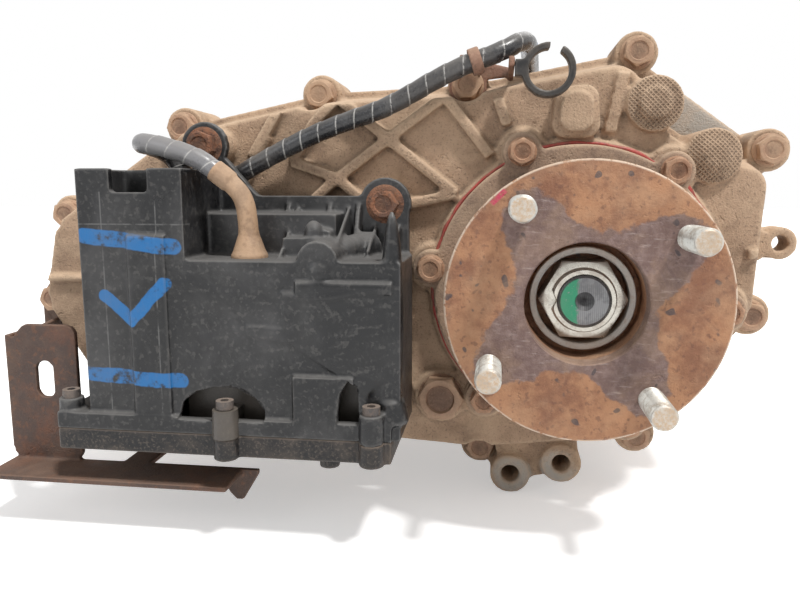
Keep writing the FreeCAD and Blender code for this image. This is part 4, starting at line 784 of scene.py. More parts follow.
BOOT = Finish("tan_rubber", (0.4, 0.255, 0.155), (0.27, 0.17, 0.105), (0.5, 0.36, 0.25), patch_scale=70.0,
              dust_amount=0.35, dust_upward=0.3, roughness=(0.6, 0.85), grain_height=0.35, speck=0.5,
              speck_scale=260.0, speck_colour=(0.2, 0.12, 0.07))
SEALANT = Finish("red_sealant", (0.4, 0.045, 0.035), (0.25, 0.045, 0.035), (0.4, 0.25, 0.18),
                 patch_scale=180.0,
                 dust_amount=0.3, dust_upward=0.2, roughness=(0.35, 0.6), grain_height=0.4)
GREEN = Finish("green_seal", (0.02, 0.22, 0.1), (0.02, 0.14, 0.07), (0.3, 0.28, 0.24), patch_scale=100.0,
               dust_amount=0.2, dust_upward=0.3, roughness=(0.4, 0.6), grain_height=0.1)
DARK_RUBBER = Finish("seal_rubber", (0.04, 0.037, 0.035), (0.07, 0.055, 0.045), (0.25, 0.19, 0.15),
                     patch_scale=90.0, roughness=(0.5, 0.8), grain_height=0.2)
GEAR_PLASTIC = Finish("gear_plastic", (0.6, 0.57, 0.47), (0.5, 0.47, 0.38), (0.6, 0.57, 0.5),
                      dust_amount=0.05,
                      dust_upward=0.0, roughness=(0.35, 0.5), grain_height=0.05)
BOARD = Finish("board_lacquer", (0.015, 0.12, 0.05), (0.02, 0.09, 0.04), (0.3, 0.3, 0.3), dust_amount=0.04,
               dust_upward=0.0, roughness=(0.25, 0.4), grain_height=0.05)
FORK = Finish("fork_alloy", (0.5, 0.49, 0.46), (0.4, 0.39, 0.37), (0.4, 0.35, 0.3), dust_amount=0.05,
              dust_upward=0.0, roughness=(0.4, 0.6), metallic=0.6, grain_height=0.35)

NODE_FINISHES = {
    "retainer_gasket": RETAINER, "dowel_pins": STEEL, "oil_plugs": BOLT, "rear_oil_seal": DARK_RUBBER,
    "rear_bearing": STEEL, "rear_bearing_inner": STEEL, "ring_gear": STEEL, "input_oil_seal": DARK_RUBBER,
    "input_bearing": STEEL, "input_bearing_inner": STEEL, "input_snap_ring": STEEL,
    "front_oil_seal": DARK_RUBBER,
    "front_bearing": STEEL, "front_bearing_inner": STEEL, "front_snap_ring": STEEL,
    "front_needle_bearing": STEEL, "drive_chain": STEEL, "shift_rail": STEEL, "actuator_motor": STEEL,
    "circuit_board": BOARD, "connector_seal": GREEN, "main_shaft": SHAFT, "mode_sleeve": STEEL,
    "range_sleeve": STEEL, "drive_sprocket": STEEL, "input_shaft": STEEL, "planet_carrier": STEEL,
    "planet_gear_1": STEEL, "planet_gear_2": STEEL, "planet_gear_3": STEEL, "front_output_shaft": STEEL,
    "driven_sprocket": STEEL, "shift_drum": STEEL, "output_wheel": GEAR_PLASTIC, "idler_gear": GEAR_PLASTIC,
    "motor_pinion": GEAR_PLASTIC, "mode_fork": FORK, "range_fork": FORK, "rear_case": CAST,
    "front_case": CAST,
    "rear_retainer": RETAINER, "case_bolts": BOLT, "retainer_bolts": RETAINER_BOLT,
    "actuator_bolts": RUSTY_BOLT,
    "actuator_screws": DARK_SCREW, "actuator_housing": HOUSING, "actuator_cover": COVER,
    "guard_plate": GUARD,
    "clip_bracket": TAB, "harness_clip": BLACK, "harness_loom": WRAP, "harness_boot": BOOT,
    "position_switch": BLACK, "rear_flange": FLANGE, "front_flange": FRONT_FLANGE, "rear_studs": STUD,
    "front_studs": FRONT_STUD, "rear_nut": ZINC, "front_nut": ZINC,
}


# ------------------------------------------------------------------------------- mesh making
def link(name: str, mesh: bpy.types.Mesh) -> bpy.types.Object:
    """Put a mesh in the scene at the origin.

    Args:
        name: the object's name.
        mesh: its mesh.

    Returns:
        The object.
    """
    made = bpy.data.objects.new(name, mesh)
    bpy.context.scene.collection.objects.link(made)
    return made


def to_mesh(name: str, built: bmesh.types.BMesh, sharp: float = 38.0) -> bpy.types.Mesh:
    """Turn a bmesh into a mesh with outward normals, smooth but for its sharp edges.

    Args:
        name: the mesh's name.
        built: the bmesh, freed here.
        sharp: edges over this angle in degrees stay sharp.

    Returns:
        The mesh.
    """
    bmesh.ops.recalc_face_normals(built, faces=built.faces)
    mesh = bpy.data.meshes.new(name)
    built.to_mesh(mesh)
    built.free()
    mesh.shade_smooth()
    mesh.set_sharp_from_angle(angle=math.radians(sharp))
    return mesh


def grid(built: bmesh.types.BMesh, rings: list[list[Point]], loop: bool = False, caps: bool = True) -> None:
    """Join rings of points into a closed skin.

    Args:
        built: the bmesh to add to.
        rings: equal rings of points; a ring of one point is a pole.
        loop: join the last ring to the first.
        caps: close open ends with a flat face.
    """
    made = [[built.verts.new(point) for point in ring] for ring in rings]
    pairs = list(zip(made, made[1:])) + ([(made[-1], made[0])] if loop else [])
    for first, second in pairs:
        count = max(len(first), len(second))
        for index in range(count):
            after = (index + 1) % count
            corners = [first[index % len(first)], first[after % len(first)],
                       second[after % len(second)], second[index % len(second)]]
            kept = list(dict.fromkeys(corners))
            built.faces.new(kept)
    if caps and not loop:
        for ring in (made[0], made[-1]):
            if len(ring) > 2:
                built.faces.new(ring)


def ring_at(radius: float, y: float, segments: int, centre: tuple[float, float] = (0.0,
                                                                                   0.0)) -> list[Point]:
    """A circle of points about the Y direction, or one point for no radius.

    Args:
        radius: the circle's radius in metres.
        y: its place along Y.
        segments: how many points it has.
        centre: its X and Z.

    Returns:
        The points.
    """
    if radius <= 0:
        return [(centre[0], y, centre[1])]
    turn = 2 * math.pi / segments
    return [(centre[0] + radius * math.cos(turn * index), y, centre[1] + radius * math.sin(turn * index))
            for index in range(segments)]


def lathe(built: bmesh.types.BMesh, profile: list[tuple[float, float]], segments: int = 128,
          centre: tuple[float, float] = (0.0, 0.0), loop: bool = True) -> None:
    """Spin a profile about the Y direction.

    Args:
        built: the bmesh to add to.
        profile: radius and Y of each point in millimetres.
        segments: points to a turn.
        centre: X and Z of the axis in metres.
        loop: the profile closes on itself, so the piece is a ring.
    """
    grid(built, [ring_at(radius * MM, y * MM, segments, centre) for radius, y in profile], loop)


def hex_ring(flats: float, limit: float, y: float, drop: float, segments: int = 72) -> list[Point]:
    """A ring that follows a hexagon, cut back to a cone beyond a radius.

    Args:
        flats: distance across flats in metres.
        limit: radius in metres at which the cone begins.
        y: place of the top along Y.
        drop: how far the edge falls away for each metre beyond the limit.
        segments: points to a turn, a multiple of six.

    Returns:
        The points.
    """
    points = []
    for index in range(segments):
        angle = 2 * math.pi * index / segments
        part = (angle % (math.pi / 3)) - math.pi / 6
        radius = flats / 2 / math.cos(part)
        points.append((radius * math.cos(angle), y + max(0.0, radius - limit) * drop,
                       radius * math.sin(angle)))
    return points


def join_nodes(names: tuple[str, ...]) -> bmesh.types.BMesh:
    """Gather CAD nodes into one welded bmesh; the nodes themselves are left as they are.

    Args:
        names: the nodes.

    Returns:
        The bmesh.
    """
    built = bmesh.new()
    for name in names:
        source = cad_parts[name]
        copy = source.data.copy()
        copy.transform(source.matrix_world)
        built.from_mesh(copy)
        bpy.data.meshes.remove(copy)
    bmesh.ops.remove_doubles(built, verts=built.verts, dist=WELD)
    return built


def add_box(built: bmesh.types.BMesh, low: Point, high: Point) -> None:
    """Add a block between two corners.

    Args:
        built: the bmesh to add to.
        low: lowest corner in millimetres.
        high: highest corner in millimetres.
    """
    size = [(b - a) * MM for a, b in zip(low, high)]
    middle = [(a + b) / 2 * MM for a, b in zip(low, high)]
    matrix = Matrix.Translation(middle) @ Matrix.Diagonal((*size, 1.0))
    bmesh.ops.create_cube(built, size=1.0, matrix=matrix)


def islands(name: str) -> list[tuple[Vector, Vector]]:
    """The boxes of the separate solids in a CAD node.

    Args:
        name: the node.

    Returns:
        The lowest and highest corner of each solid.
    """
    built = join_nodes((name,))
    left = set(built.verts)
    boxes = []
    while left:
        stack = [left.pop()]
        found = list(stack)
        while stack:
            for edge in stack.pop().link_edges:
                for vertex in edge.verts:
                    if vertex in left:
                        left.remove(vertex)
                        stack.append(vertex)
                        found.append(vertex)
        low = Vector(min(v.co[axis] for v in found) for axis in range(3))
        high = Vector(max(v.co[axis] for v in found) for axis in range(3))
        boxes.append((low, high))
    built.free()
    return sorted(boxes, key=lambda pair: tuple(round(value, 5) for value in pair[0]))


def declare(piece: bpy.types.Object, finish: Finish, body: str, nodes: tuple[str,
                                                                                        ...] = ()) -> None:
    """Give a piece its finish, hang it on the body that carries it, and hide the CAD nodes that it is shown
    in place of.

    Args:
        piece: the object.
        finish: its finish.
        body: the body that carries it.
        nodes: CAD nodes that it is shown in place of.
    """
    if not piece.data.materials:
        piece.data.materials.append(finish.material())
    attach(piece, body)
    if nodes:
        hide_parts(*nodes)


class Skin(Enum):
    """How finely a casting or moulding is reskinned: voxel in millimetres and rounds of smoothing."""

    FINE = (0.75, 3)
    MIDDLE = (1.0, 4)
    COARSE = (1.3, 3)
    BROAD = (1.7, 4)


@dataclass
class Cast:
    """A solid skin poured over CAD nodes, with the edges and inner corners softened."""

    name: str
    nodes: tuple[str, ...]
    skin: Skin
    finish: Finish
    slot: str
    most: int = 185000

    def extra(self, built: bmesh.types.BMesh) -> None:
        """Add more solids before the skin is poured; subclasses use it.

        Args:
            built: the bmesh to add to.
        """

    def hollow(self) -> bmesh.types.BMesh | None:
        """The room to cut out of the skin; subclasses use it.

        Returns:
            A closed solid, or nothing.
        """
        return None

    def build(self, body: str = "case") -> bpy.types.Object:
        """Args:
            body: the body that carries it.

        Returns:
            The finished object.
        """
        built = join_nodes(self.nodes)
        self.extra(built)
        source = link(self.name, to_mesh(self.name, built))
        voxel, rounds = self.skin.value
        remesh = source.modifiers.new("skin", "REMESH")
        remesh.mode = "VOXEL"
        remesh.voxel_size = voxel * MM
        room = self.hollow()
        tool = link("cutter", to_mesh("cutter", room)) if room else None
        if tool:
            carve = source.modifiers.new("carve", "BOOLEAN")
            carve.operation = "DIFFERENCE"
            carve.solver = "MANIFOLD"
            carve.object = tool
        smooth = source.modifiers.new("soft", "SMOOTH")
        smooth.iterations = rounds
        smooth.factor = 0.5
        count = len(source.evaluated_get(bpy.context.evaluated_depsgraph_get()).data.loop_triangles)
        if count > self.most:
            thin = source.modifiers.new("thin", "DECIMATE")
            thin.ratio = self.most / count
        graph = bpy.context.evaluated_depsgraph_get()
        mesh = bpy.data.meshes.new_from_object(source.evaluated_get(graph))
        old = source.data
        source.modifiers.clear()
        if tool:
            bpy.data.meshes.remove(tool.data)
        source.data = mesh
        bpy.data.meshes.remove(old)
        mesh.name = self.name
        mesh.shade_smooth()
        mesh.materials.clear()
        LOG.info("%s has %d triangles", self.name, len(mesh.loop_triangles) or count)
        declare(source, self.finish, body, self.nodes)
        return source


# ------------------------------------------------------------------------------- repeated pieces
class Repeater:
    """Geometry nodes that set one prototype on every point of a mesh."""

    name = "set_on_points"

    @classmethod
    def tree(cls) -> bpy.types.NodeTree:
        """The node tree, built on first use.

        Returns:
            The tree.
        """
        found = bpy.data.node_groups.get(cls.name)
        if found:
            return found
        tree = bpy.data.node_groups.new(cls.name, "GeometryNodeTree")
        face = tree.interface
        face.new_socket("Points", in_out="INPUT", socket_type="NodeSocketGeometry")
        face.new_socket("Prototype", in_out="INPUT", socket_type="NodeSocketObject")
        face.new_socket("Finish", in_out="INPUT", socket_type="NodeSocketMaterial")
        face.new_socket("Most turn", in_out="INPUT", socket_type="NodeSocketFloat")
        face.new_socket("Seed", in_out="INPUT", socket_type="NodeSocketInt")
        face.new_socket("Pieces", in_out="OUTPUT", socket_type="NodeSocketGeometry")
        graph = Graph(tree)
        source = graph.add("NodeGroupInput").outputs
        target = graph.add("NodeGroupOutput").inputs
        shape = graph.add("GeometryNodeObjectInfo", transform_space="ORIGINAL")
        graph.feed(shape.inputs["Object"], source["Prototype"])
        turn = graph.add("FunctionNodeRandomValue", data_type="FLOAT")
        graph.feed(turn.inputs[3], source["Most turn"])
        graph.feed(turn.inputs["Seed"], source["Seed"])
        about = graph.add("ShaderNodeCombineXYZ")
        graph.feed(about.inputs["Y"], turn.outputs[1])
        rotation = graph.add("FunctionNodeEulerToRotation")
        graph.feed(rotation.inputs[0], about.outputs[0])
        copies = graph.add("GeometryNodeInstanceOnPoints")
        graph.feed(copies.inputs["Points"], source["Points"])
        graph.feed(copies.inputs["Instance"], shape.outputs["Geometry"])
        graph.feed(copies.inputs["Rotation"], rotation.outputs[0])
        real = graph.add("GeometryNodeRealizeInstances")
        graph.feed(real.inputs[0], copies.outputs[0])
        dress = graph.add("GeometryNodeSetMaterial")
        graph.feed(dress.inputs["Geometry"], real.outputs[0])
        graph.feed(dress.inputs["Material"], source["Finish"])
        graph.feed(target["Pieces"], dress.outputs[0])
        return tree

    @classmethod
    def spread(cls, name: str, prototype: bpy.types.Mesh, points: list[Point], finish: Finish,
               turn: float, seed: int) -> bpy.types.Object:
        """Set copies of a mesh on points and turn the result into one plain mesh.

        Args:
            name: name of the finished object.
            prototype: the mesh to copy, which is used up.
            points: where the copies go.
            finish: their finish.
            turn: the most that a copy is turned about Y, in radians.
            seed: seed of the turns.

        Returns:
            The finished object.
        """
        model = link(name + "_model", prototype)
        dots = bpy.data.meshes.new(name + "_dots")
        dots.from_pydata(points, [], [])
        host = link(name, dots)
        modifier = host.modifiers.new("copies", "NODES")
        modifier.node_group = cls.tree()
        values = {"Prototype": model, "Finish": finish.material(), "Most turn": turn, "Seed": seed}
        for item in cls.tree().interface.items_tree:
            if item.in_out == "INPUT" and item.name in values:
                modifier[item.identifier] = values[item.name]
        graph = bpy.context.evaluated_depsgraph_get()
        mesh = bpy.data.meshes.new_from_object(host.evaluated_get(graph))
        host.modifiers.clear()
        host.data = mesh
        mesh.name = name
        bpy.data.objects.remove(model)
        bpy.data.meshes.remove(prototype)
        bpy.data.meshes.remove(dots)
        return host


@dataclass(frozen=True)
class HexBolt:
    """A hex bolt with a pressed washer; sizes in millimetres, seat at Y 0, head towards -Y."""

    flats: float
    head: float
    washer: float
    washer_high: float
    shank: float
    length: float
    dish: float = 0.5

    def mesh(self, name: str) -> bpy.types.Mesh:
        """Build it.

        Args:
            name: the mesh's name.

        Returns:
            The mesh.
        """
        built = bmesh.new()
        count = 72
        limit = self.flats / 2 * 0.97 * MM
        edge, rise = self.washer, self.washer_high
        washer = [(self.shank, 0.0), (edge - 0.3, 0.0), (edge, -0.3), (edge, -rise * 0.45),
                  (edge - 0.4, -rise * 0.6), (self.flats / 2 * 1.06, -rise)]
        rings = [ring_at(self.shank * MM, self.length * MM, count)]
        rings += [ring_at(radius * MM, y * MM, count) for radius, y in washer]
        rings.append(hex_ring(self.flats * MM, 1.0, -rise * MM, 0.0, count))
        rings.append(hex_ring(self.flats * MM, limit, -self.head * MM, 0.58, count))
        rings.append(ring_at(limit, -self.head * MM, count))
        rings.append(ring_at(limit * 0.74, -self.head * MM, count))
        rings.append(ring_at(limit * 0.66, -(self.head - self.dish) * MM, count))
        rings.append([(0.0, -(self.head - self.dish) * MM, 0.0)])
        grid(built, rings)
        return to_mesh(name, built, 30.0)


@dataclass(frozen=True)
class Stud:
    """A threaded stud; sizes in millimetres, tip towards -Y."""

    radius: float
    tip: float
    end: float
    head_radius: float
    head_end: float
    pitch: float = 1.5
    depth: float = 0.85
    plain: float = 4.0

    def mesh(self, name: str) -> bpy.types.Mesh:
        """Build it.

        Args:
            name: the mesh's name.

        Returns:
            The mesh.
        """
        built = bmesh.new()
        count, step = 48, self.pitch / 5
        length = self.end - self.tip
        rings = [[(0.0, self.tip * MM, 0.0)], ring_at((self.radius - 1.4) * MM, self.tip * MM, count)]
        steps = int(length / step)
        for index in range(1, steps):
            along = index * step
            y = (self.tip + along) * MM
            fade = min(1.0, along / 1.5, max(0.0, (length - self.plain - along) / 1.5))
            ring = []
            for spot in range(count):
                phase = (along / self.pitch + spot / count) % 1.0
                wave = abs(phase * 2 - 1)
                cut = self.depth * (1 - wave) * fade + 0.9 * max(0.0, 1 - along / 1.2)
                radius = (self.radius - cut) * MM
                angle = 2 * math.pi * spot / count
                ring.append((radius * math.cos(angle), y, radius * math.sin(angle)))
            rings.append(ring)
        head = [(self.radius, self.end), (self.head_radius - 0.6, self.end), (self.head_radius,
                                                                              self.end + 0.6),
                (self.head_radius, self.head_end - 0.6), (self.head_radius - 0.6, self.head_end),
                (0.0, self.head_end)]
        rings += [ring_at(radius * MM, y * MM, count) for radius, y in head]
        grid(built, rings)
        return to_mesh(name, built, 50.0)


# ------------------------------------------------------------------------------- case
class Castings:
    """The three castings and their bolts, plugs and sealant."""

    case_bolt = HexBolt(14.0, 8.0, 8.96, 2.2, 5.0, 30.0)
    retainer_bolt = HexBolt(12.0, 6.4, 7.4, 1.6, 4.0, 18.0)
    ear_bolt = HexBolt(13.0, 8.4, 11.3, 2.0, 4.0, 18.0)
    fill_plug = HexBolt(22.0, 10.0, 14.0, 2.4, 9.0, 12.0, dish=1.6)
    bead_radius = 74.6
    bead_y = 55.4
    bead_steps = 360
    bead_sides = 10

    def build(self) -> None:
        """Pour the castings and set the fasteners."""
        Cast("rear_casting", ("rear_case",), Skin.COARSE, CAST, "cast").build()
        Cast("front_casting", ("front_case",), Skin.BROAD, CAST, "cast").build()
        Cast("retainer_casting", ("rear_retainer",), Skin.MIDDLE, RETAINER, "retainer_cast").build()
        self.bolts("case_bolts", self.case_bolt, BOLT, 3)
        self.bolts("retainer_bolts", self.retainer_bolt, RETAINER_BOLT, 5)
        self.bolts("actuator_bolts", self.ear_bolt, RUSTY_BOLT, 8)
        self.plugs()
        self.bead()

    def bolts(self, node: str, bolt: HexBolt, finish: Finish, seed: int) -> None:
        """Set a bolt on each solid of a CAD node.

        Args:
            node: the node.
            bolt: the bolt.
            finish: its finish.
            seed: seed of the random turns.
        """
        points = []
        for low, high in islands(node):
            points.append(((low.x + high.x) / 2, low.y + bolt.head * MM, (low.z + high.z) / 2))
        made = Repeater.spread(node + "_look", bolt.mesh(node), points, finish, math.pi / 3, seed)
        declare(made, finish, "case", (node,))

    def plugs(self) -> None:
        """The filler plug in the rear wall and the drain plug in the front one."""
        (fill_low, fill_high), (drain_low, drain_high) = sorted(islands("oil_plugs"),
                                                                key=lambda box: box[0].y)
        mesh = self.fill_plug.mesh("plugs")
        built = bmesh.new()
        built.from_mesh(mesh)
        shift = Matrix.Translation(((fill_low.x + fill_high.x) / 2, fill_low.y + self.fill_plug.head * MM,
                                    (fill_low.z + fill_high.z) / 2))
        bmesh.ops.transform(built, matrix=shift, verts=built.verts)
        place = Matrix.Translation(((drain_low.x + drain_high.x) / 2,
                                    drain_high.y - self.fill_plug.head * MM,
                                    (drain_low.z + drain_high.z) / 2)) @ Matrix.Rotation(math.pi, 4, "Z")
        mesh.transform(place)
        built.from_mesh(mesh)
        bpy.data.meshes.remove(mesh)
        declare(link("plugs_look", to_mesh("plugs_look", built, 30.0)), BOLT, "case",
                ("oil_plugs",))

    def bead(self) -> None:
        """Squeezed-out sealant around the retainer, uneven along its length."""
        built = bmesh.new()
        rings = []
        for index in range(self.bead_steps):
            angle = math.radians(index * 360 / self.bead_steps)
            swell = noise.noise(Vector((math.cos(angle) * 9, math.sin(angle) * 9, 3.0)))
            thick = (0.75 + 0.75 * max(0.0, swell + 0.25)) * MM
            out = (self.bead_radius + 0.3 + 0.4 * swell) * MM
            ring = []
            for spot in range(self.bead_sides):
                round_angle = 2 * math.pi * spot / self.bead_sides
                radius = out + thick * math.cos(round_angle)
                ring.append((radius * math.cos(angle),
                             self.bead_y * MM + 0.7 * thick * math.sin(round_angle),
                             radius * math.sin(angle)))
            rings.append(ring)
        grid(built, rings, loop=True)
        declare(link("sealant_bead", to_mesh("sealant_bead", built, 80.0)), SEALANT, "case")


# ------------------------------------------------------------------------------- outputs
@dataclass
class Output:
    """One companion flange with its studs."""

    side: str
    body: str
    flange: list[tuple[float, float]]
    finish: Finish
    centre: tuple[float, float]
    stud: Stud

    def build(self) -> None:
        """Build the flange, then its studs."""
        built = bmesh.new()
        lathe(built, self.flange, 192, self.centre)
        piece = link(f"{self.side}_flange_look", to_mesh(f"{self.side}_flange_look", built, 32.0))
        declare(piece, self.finish, self.body)
        node = f"{self.side}_studs"
        points = [((low.x + high.x) / 2, 0.0, (low.z + high.z) / 2) for low, high in islands(node)]
        made = Repeater.spread(node + "_look", self.stud.mesh(node), points, STUD, math.pi / 3, 4)
        declare(made, STUD, self.body, (node,))


class Outputs:
    """The rear output with its nut."""

    rear_profile = [(28.6, 0.0), (63.2, 0.0), (64.4, 0.35), (65.0, 1.2), (65.0, 8.8), (64.4, 9.6), (63.4,
                                                                                                    10.0),
                    (41.5, 10.0), (39.4, 10.7), (37.6, 12.2), (36.6, 14.2), (36.0, 16.5), (36.0, 27.0),
                    (35.2, 28.4), (28.6, 33.2), (27.5, 34.6), (27.5, 66.0), (15.0, 66.0), (15.0, 30.0),
                    (21.7, 30.0), (21.7, 17.4), (22.2, 17.0), (24.4, 17.0), (24.8, 17.4), (24.8, 25.6),
                    (25.2, 26.0), (27.6, 26.0), (28.0, 25.6), (28.0, 0.7)]
    nut_flats = 36.0
    nut_front = 13.0
    nut_back = 30.0
    collar = 14.8
    collar_front = 9.5

    def build(self) -> None:
        """Build the rear output and its nut."""
        rear_stud = Stud(6.0, -28.0, 10.0, 9.0, 14.5)
        rear = Output("rear", "rear_output", self.rear_profile, FLANGE, (0.0, 0.0), rear_stud)
        rear.build()
        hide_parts("rear_flange")
        self.nut()

    def nut(self) -> None:
        """The rear nut: a hexagon, then a thin collar staked into the shaft's slot."""
        built = bmesh.new()
        count = 144
        flats = self.nut_flats * MM
        front, back = self.nut_front * MM, self.nut_back * MM
        limit = flats / 2 * 0.985
        rings = [ring_at(12.05 * MM, back, count)]
        rings.append([(x, 2 * back - y, z) for x, y, z in hex_ring(flats, limit, back, 0.5, count)])
        rings.append(hex_ring(flats, limit, front, 0.55, count))
        rings.append(ring_at(limit, front, count))
        rings.append(ring_at((self.collar + 0.6) * MM, front, count))
        for radius, y in ((self.collar, 12.4), (self.collar, 10.0), (self.collar - 0.4, self.collar_front),
                          (12.6, self.collar_front), (12.05, 10.0)):
            rings.append(self.staked(radius, y, count))
        grid(built, rings, loop=True)
        declare(link("rear_nut_look", to_mesh("rear_nut_look", built, 35.0)), ZINC, "rear_output",
                ("rear_nut",))

    def staked(self, radius: float, y: float, count: int) -> list[Point]:
        """A ring of the collar, pushed in where it is staked.

        Args:
            radius: its radius in millimetres.
            y: its place in millimetres.
            count: points to a turn.

        Returns:
            The ring.
        """
        ring = []
        for index in range(count):
            angle = 2 * math.pi * index / count
            off = abs(angle - math.pi)
            near = math.exp(-((off / 0.17) ** 2))
            pushed = (radius - 1.9 * near * (1 if radius > 13 else 0)) * MM
            ring.append((pushed * math.cos(angle), (y + 0.5 * near) * MM, pushed * math.sin(angle)))
        return ring


# ------------------------------------------------------------------------------- actuator and sheet metal
def add_slab(built: bmesh.types.BMesh, outline: list[tuple[float, float]], low: float, high: float,
             axis: int) -> None:
    """Add a flat plate with a given outline.

    Args:
        built: the bmesh to add to.
        outline: the two free coordinates of each corner, in millimetres.
        low: where the plate begins along its axis.
        high: where it ends.
        axis: 0 for a plate across X, 1 for one across Y.
    """
    rings = []
    for level in (low, high):
        ring = []
        for first, second in outline:
            point = (level, first, second) if axis == 0 else (first, level, second)
            ring.append(tuple(value * MM for value in point))
        rings.append(ring)
    grid(built, rings)


def add_ball(built: bmesh.types.BMesh, centre: Point, radii: Point) -> None:
    """Add an ellipsoid.

    Args:
        built: the bmesh to add to.
        centre: its centre in millimetres.
        radii: its half sizes in millimetres.
    """
    matrix = Matrix.Translation(Vector(centre) * MM) @ Matrix.Diagonal((*(value * MM for value in radii),
                                                                        1.0))
    bmesh.ops.create_uvsphere(built, u_segments=32, v_segments=20, radius=1.0, matrix=matrix)


@dataclass
class Moulding(Cast):
    """The housing with its dome, lip, gussets and the recesses round two screws."""

    lip: tuple[Point, ...] = ((-138.0, -8.2, 2.6), (-132.0, -8.8, 1.6), (-124.0, -9.2, 1.4), (-116.0, -9.3,
                                                                                              2.0),
                              (-108.0, -9.2, 3.6), (-100.0, -8.8, 5.6), (-93.0, -8.2, 7.6))
    gussets: tuple[tuple[float, float, float, float], ...] = (
        (-144.0, 2.0, 20.0, 43.5), (-126.5, 14.0, 30.0, 42.0), (-117.0, 2.0, 24.0, 43.5),
        (-103.0, 12.0, 22.0, 34.0), (-91.0, 0.0, 18.0, 34.0))

    dome: tuple[Point, Point] = ((-122.0, 4.0, 12.0), (11.5, 14.0, 13.0))
    nub: tuple[Point, Point] = ((-130.0, 15.0, 29.0), (5.0, 5.0, 7.5))
    column: tuple[Point, Point] = ((-88.5, -3.5, -10.0), (5.6, 5.6, 52.0))
    motor_ribs = 9
    lip_steps = 6
    foot_rings = 5
    front = -6.0
    room_end = 6.0

    def extra(self, built: bmesh.types.BMesh) -> None:
        """Add the rounded forms."""
        add_ball(built, *self.dome)
        for step in range(self.motor_ribs):
            share = step / (self.motor_ribs - 1)
            add_ball(built, (-120.0 + 13.0 * share, 9.0 + 21.0 * share, 19.0 + 3.0 * share), (8.6, 1.5,
                                                                                              8.6))
        add_box(built, (-144, 9, 18), (-126, 26, 28))
        add_ball(built, *self.nub)
        for first, second in zip(self.lip, self.lip[1:]):
            for part in range(self.lip_steps):
                middle = Vector(first).lerp(Vector(second), part / self.lip_steps)
                add_ball(built, tuple(middle), (2.4, 1.6, 1.7))
        add_slab(built, [(-139.5, 1.0), (-92.0, 5.0), (-92.5, -36.0), (-99.0, -44.0), (-139.5, -18.5)],
                 -9.3, self.front, 1)
        add_slab(built, [(-158.0, -12.5), (-139.0, -13.5), (-139.0, -20.0), (-156.0, -17.5)], -9.0,
                 self.front, 1)
        add_ball(built, *self.column)
        for level in range(self.foot_rings):
            add_ball(built, (-88.5, -4.0, -48.0 - level * 2.2), (6.4 + level * 0.5, 6.4 + level * 0.4, 2.4))
        for x, front, low, high in self.gussets:
            add_slab(built, [(front, low - 3.0), (front, low), (39.0, high), (39.0, low - 3.0)], x - 0.9,
                     x + 0.9, 0)

    def hollow(self) -> bmesh.types.BMesh:
        """Arched room behind the middle screw and beside the right one."""
        room = bmesh.new()
        arch = [(-193.0, -59.0), (-191.0, -51.0), (-184.0, -45.5), (-174.0, -43.0), (-163.0, -43.5),
                (-154.0, -48.0), (-150.0, -54.0), (-149.5, -59.0)]
        add_slab(room, arch, -22.0, self.room_end, 1)
        add_slab(room, [(-114.0, -58.0), (-112.5, -44.0), (-108.5, -37.0), (-104.5, -40.0), (-103.6,
                                                                                             -58.0)],
                 -22.0, self.room_end, 1)
        return room


class Actuator:
    """The shift actuator's mouldings."""

    def bosses(self) -> None:
        """The screw boss that stands in the middle recess, and the floors of both recesses."""
        built = bmesh.new()
        spot = Matrix.Translation(Vector((-168.0, -12.4, -59.2)) * MM)
        bmesh.ops.create_cone(built, cap_ends=True, segments=48, radius1=6.4 * MM, radius2=6.0 * MM,
                              depth=13.6 * MM, matrix=spot)
        add_box(built, (-171, -12, -65), (-165, 7, -55))
        add_box(built, (-194, 5, -65), (-148, 7, -41))
        add_box(built, (-116, 5, -65), (-102, 7, -34))
        declare(link("recess_walls", to_mesh("recess_walls", built)), BLACK, "case")

    def build(self) -> None:
        """Pour the mouldings' skins."""
        Moulding("housing_moulding", ("actuator_housing",), Skin.MIDDLE, HOUSING, "housing_plastic").build()
        self.bosses()
        Cast("cover_moulding", ("actuator_cover",), Skin.FINE, COVER, "housing_plastic").build()


class SheetMetal:
    """The guard, the bracket and the small clip."""

    def build(self) -> None:
        """Pour their skins finely, so that the sheet keeps its thickness."""
        Cast("guard_sheet", ("guard_plate",), Skin.FINE, GUARD, "guard_steel").build()
        Cast("bracket_sheet", ("clip_bracket",), Skin.FINE, TAB, "guard_steel").build()
        Cast("clip_moulding", ("harness_clip",), Skin.FINE, BLACK, "loom_plastic").build()


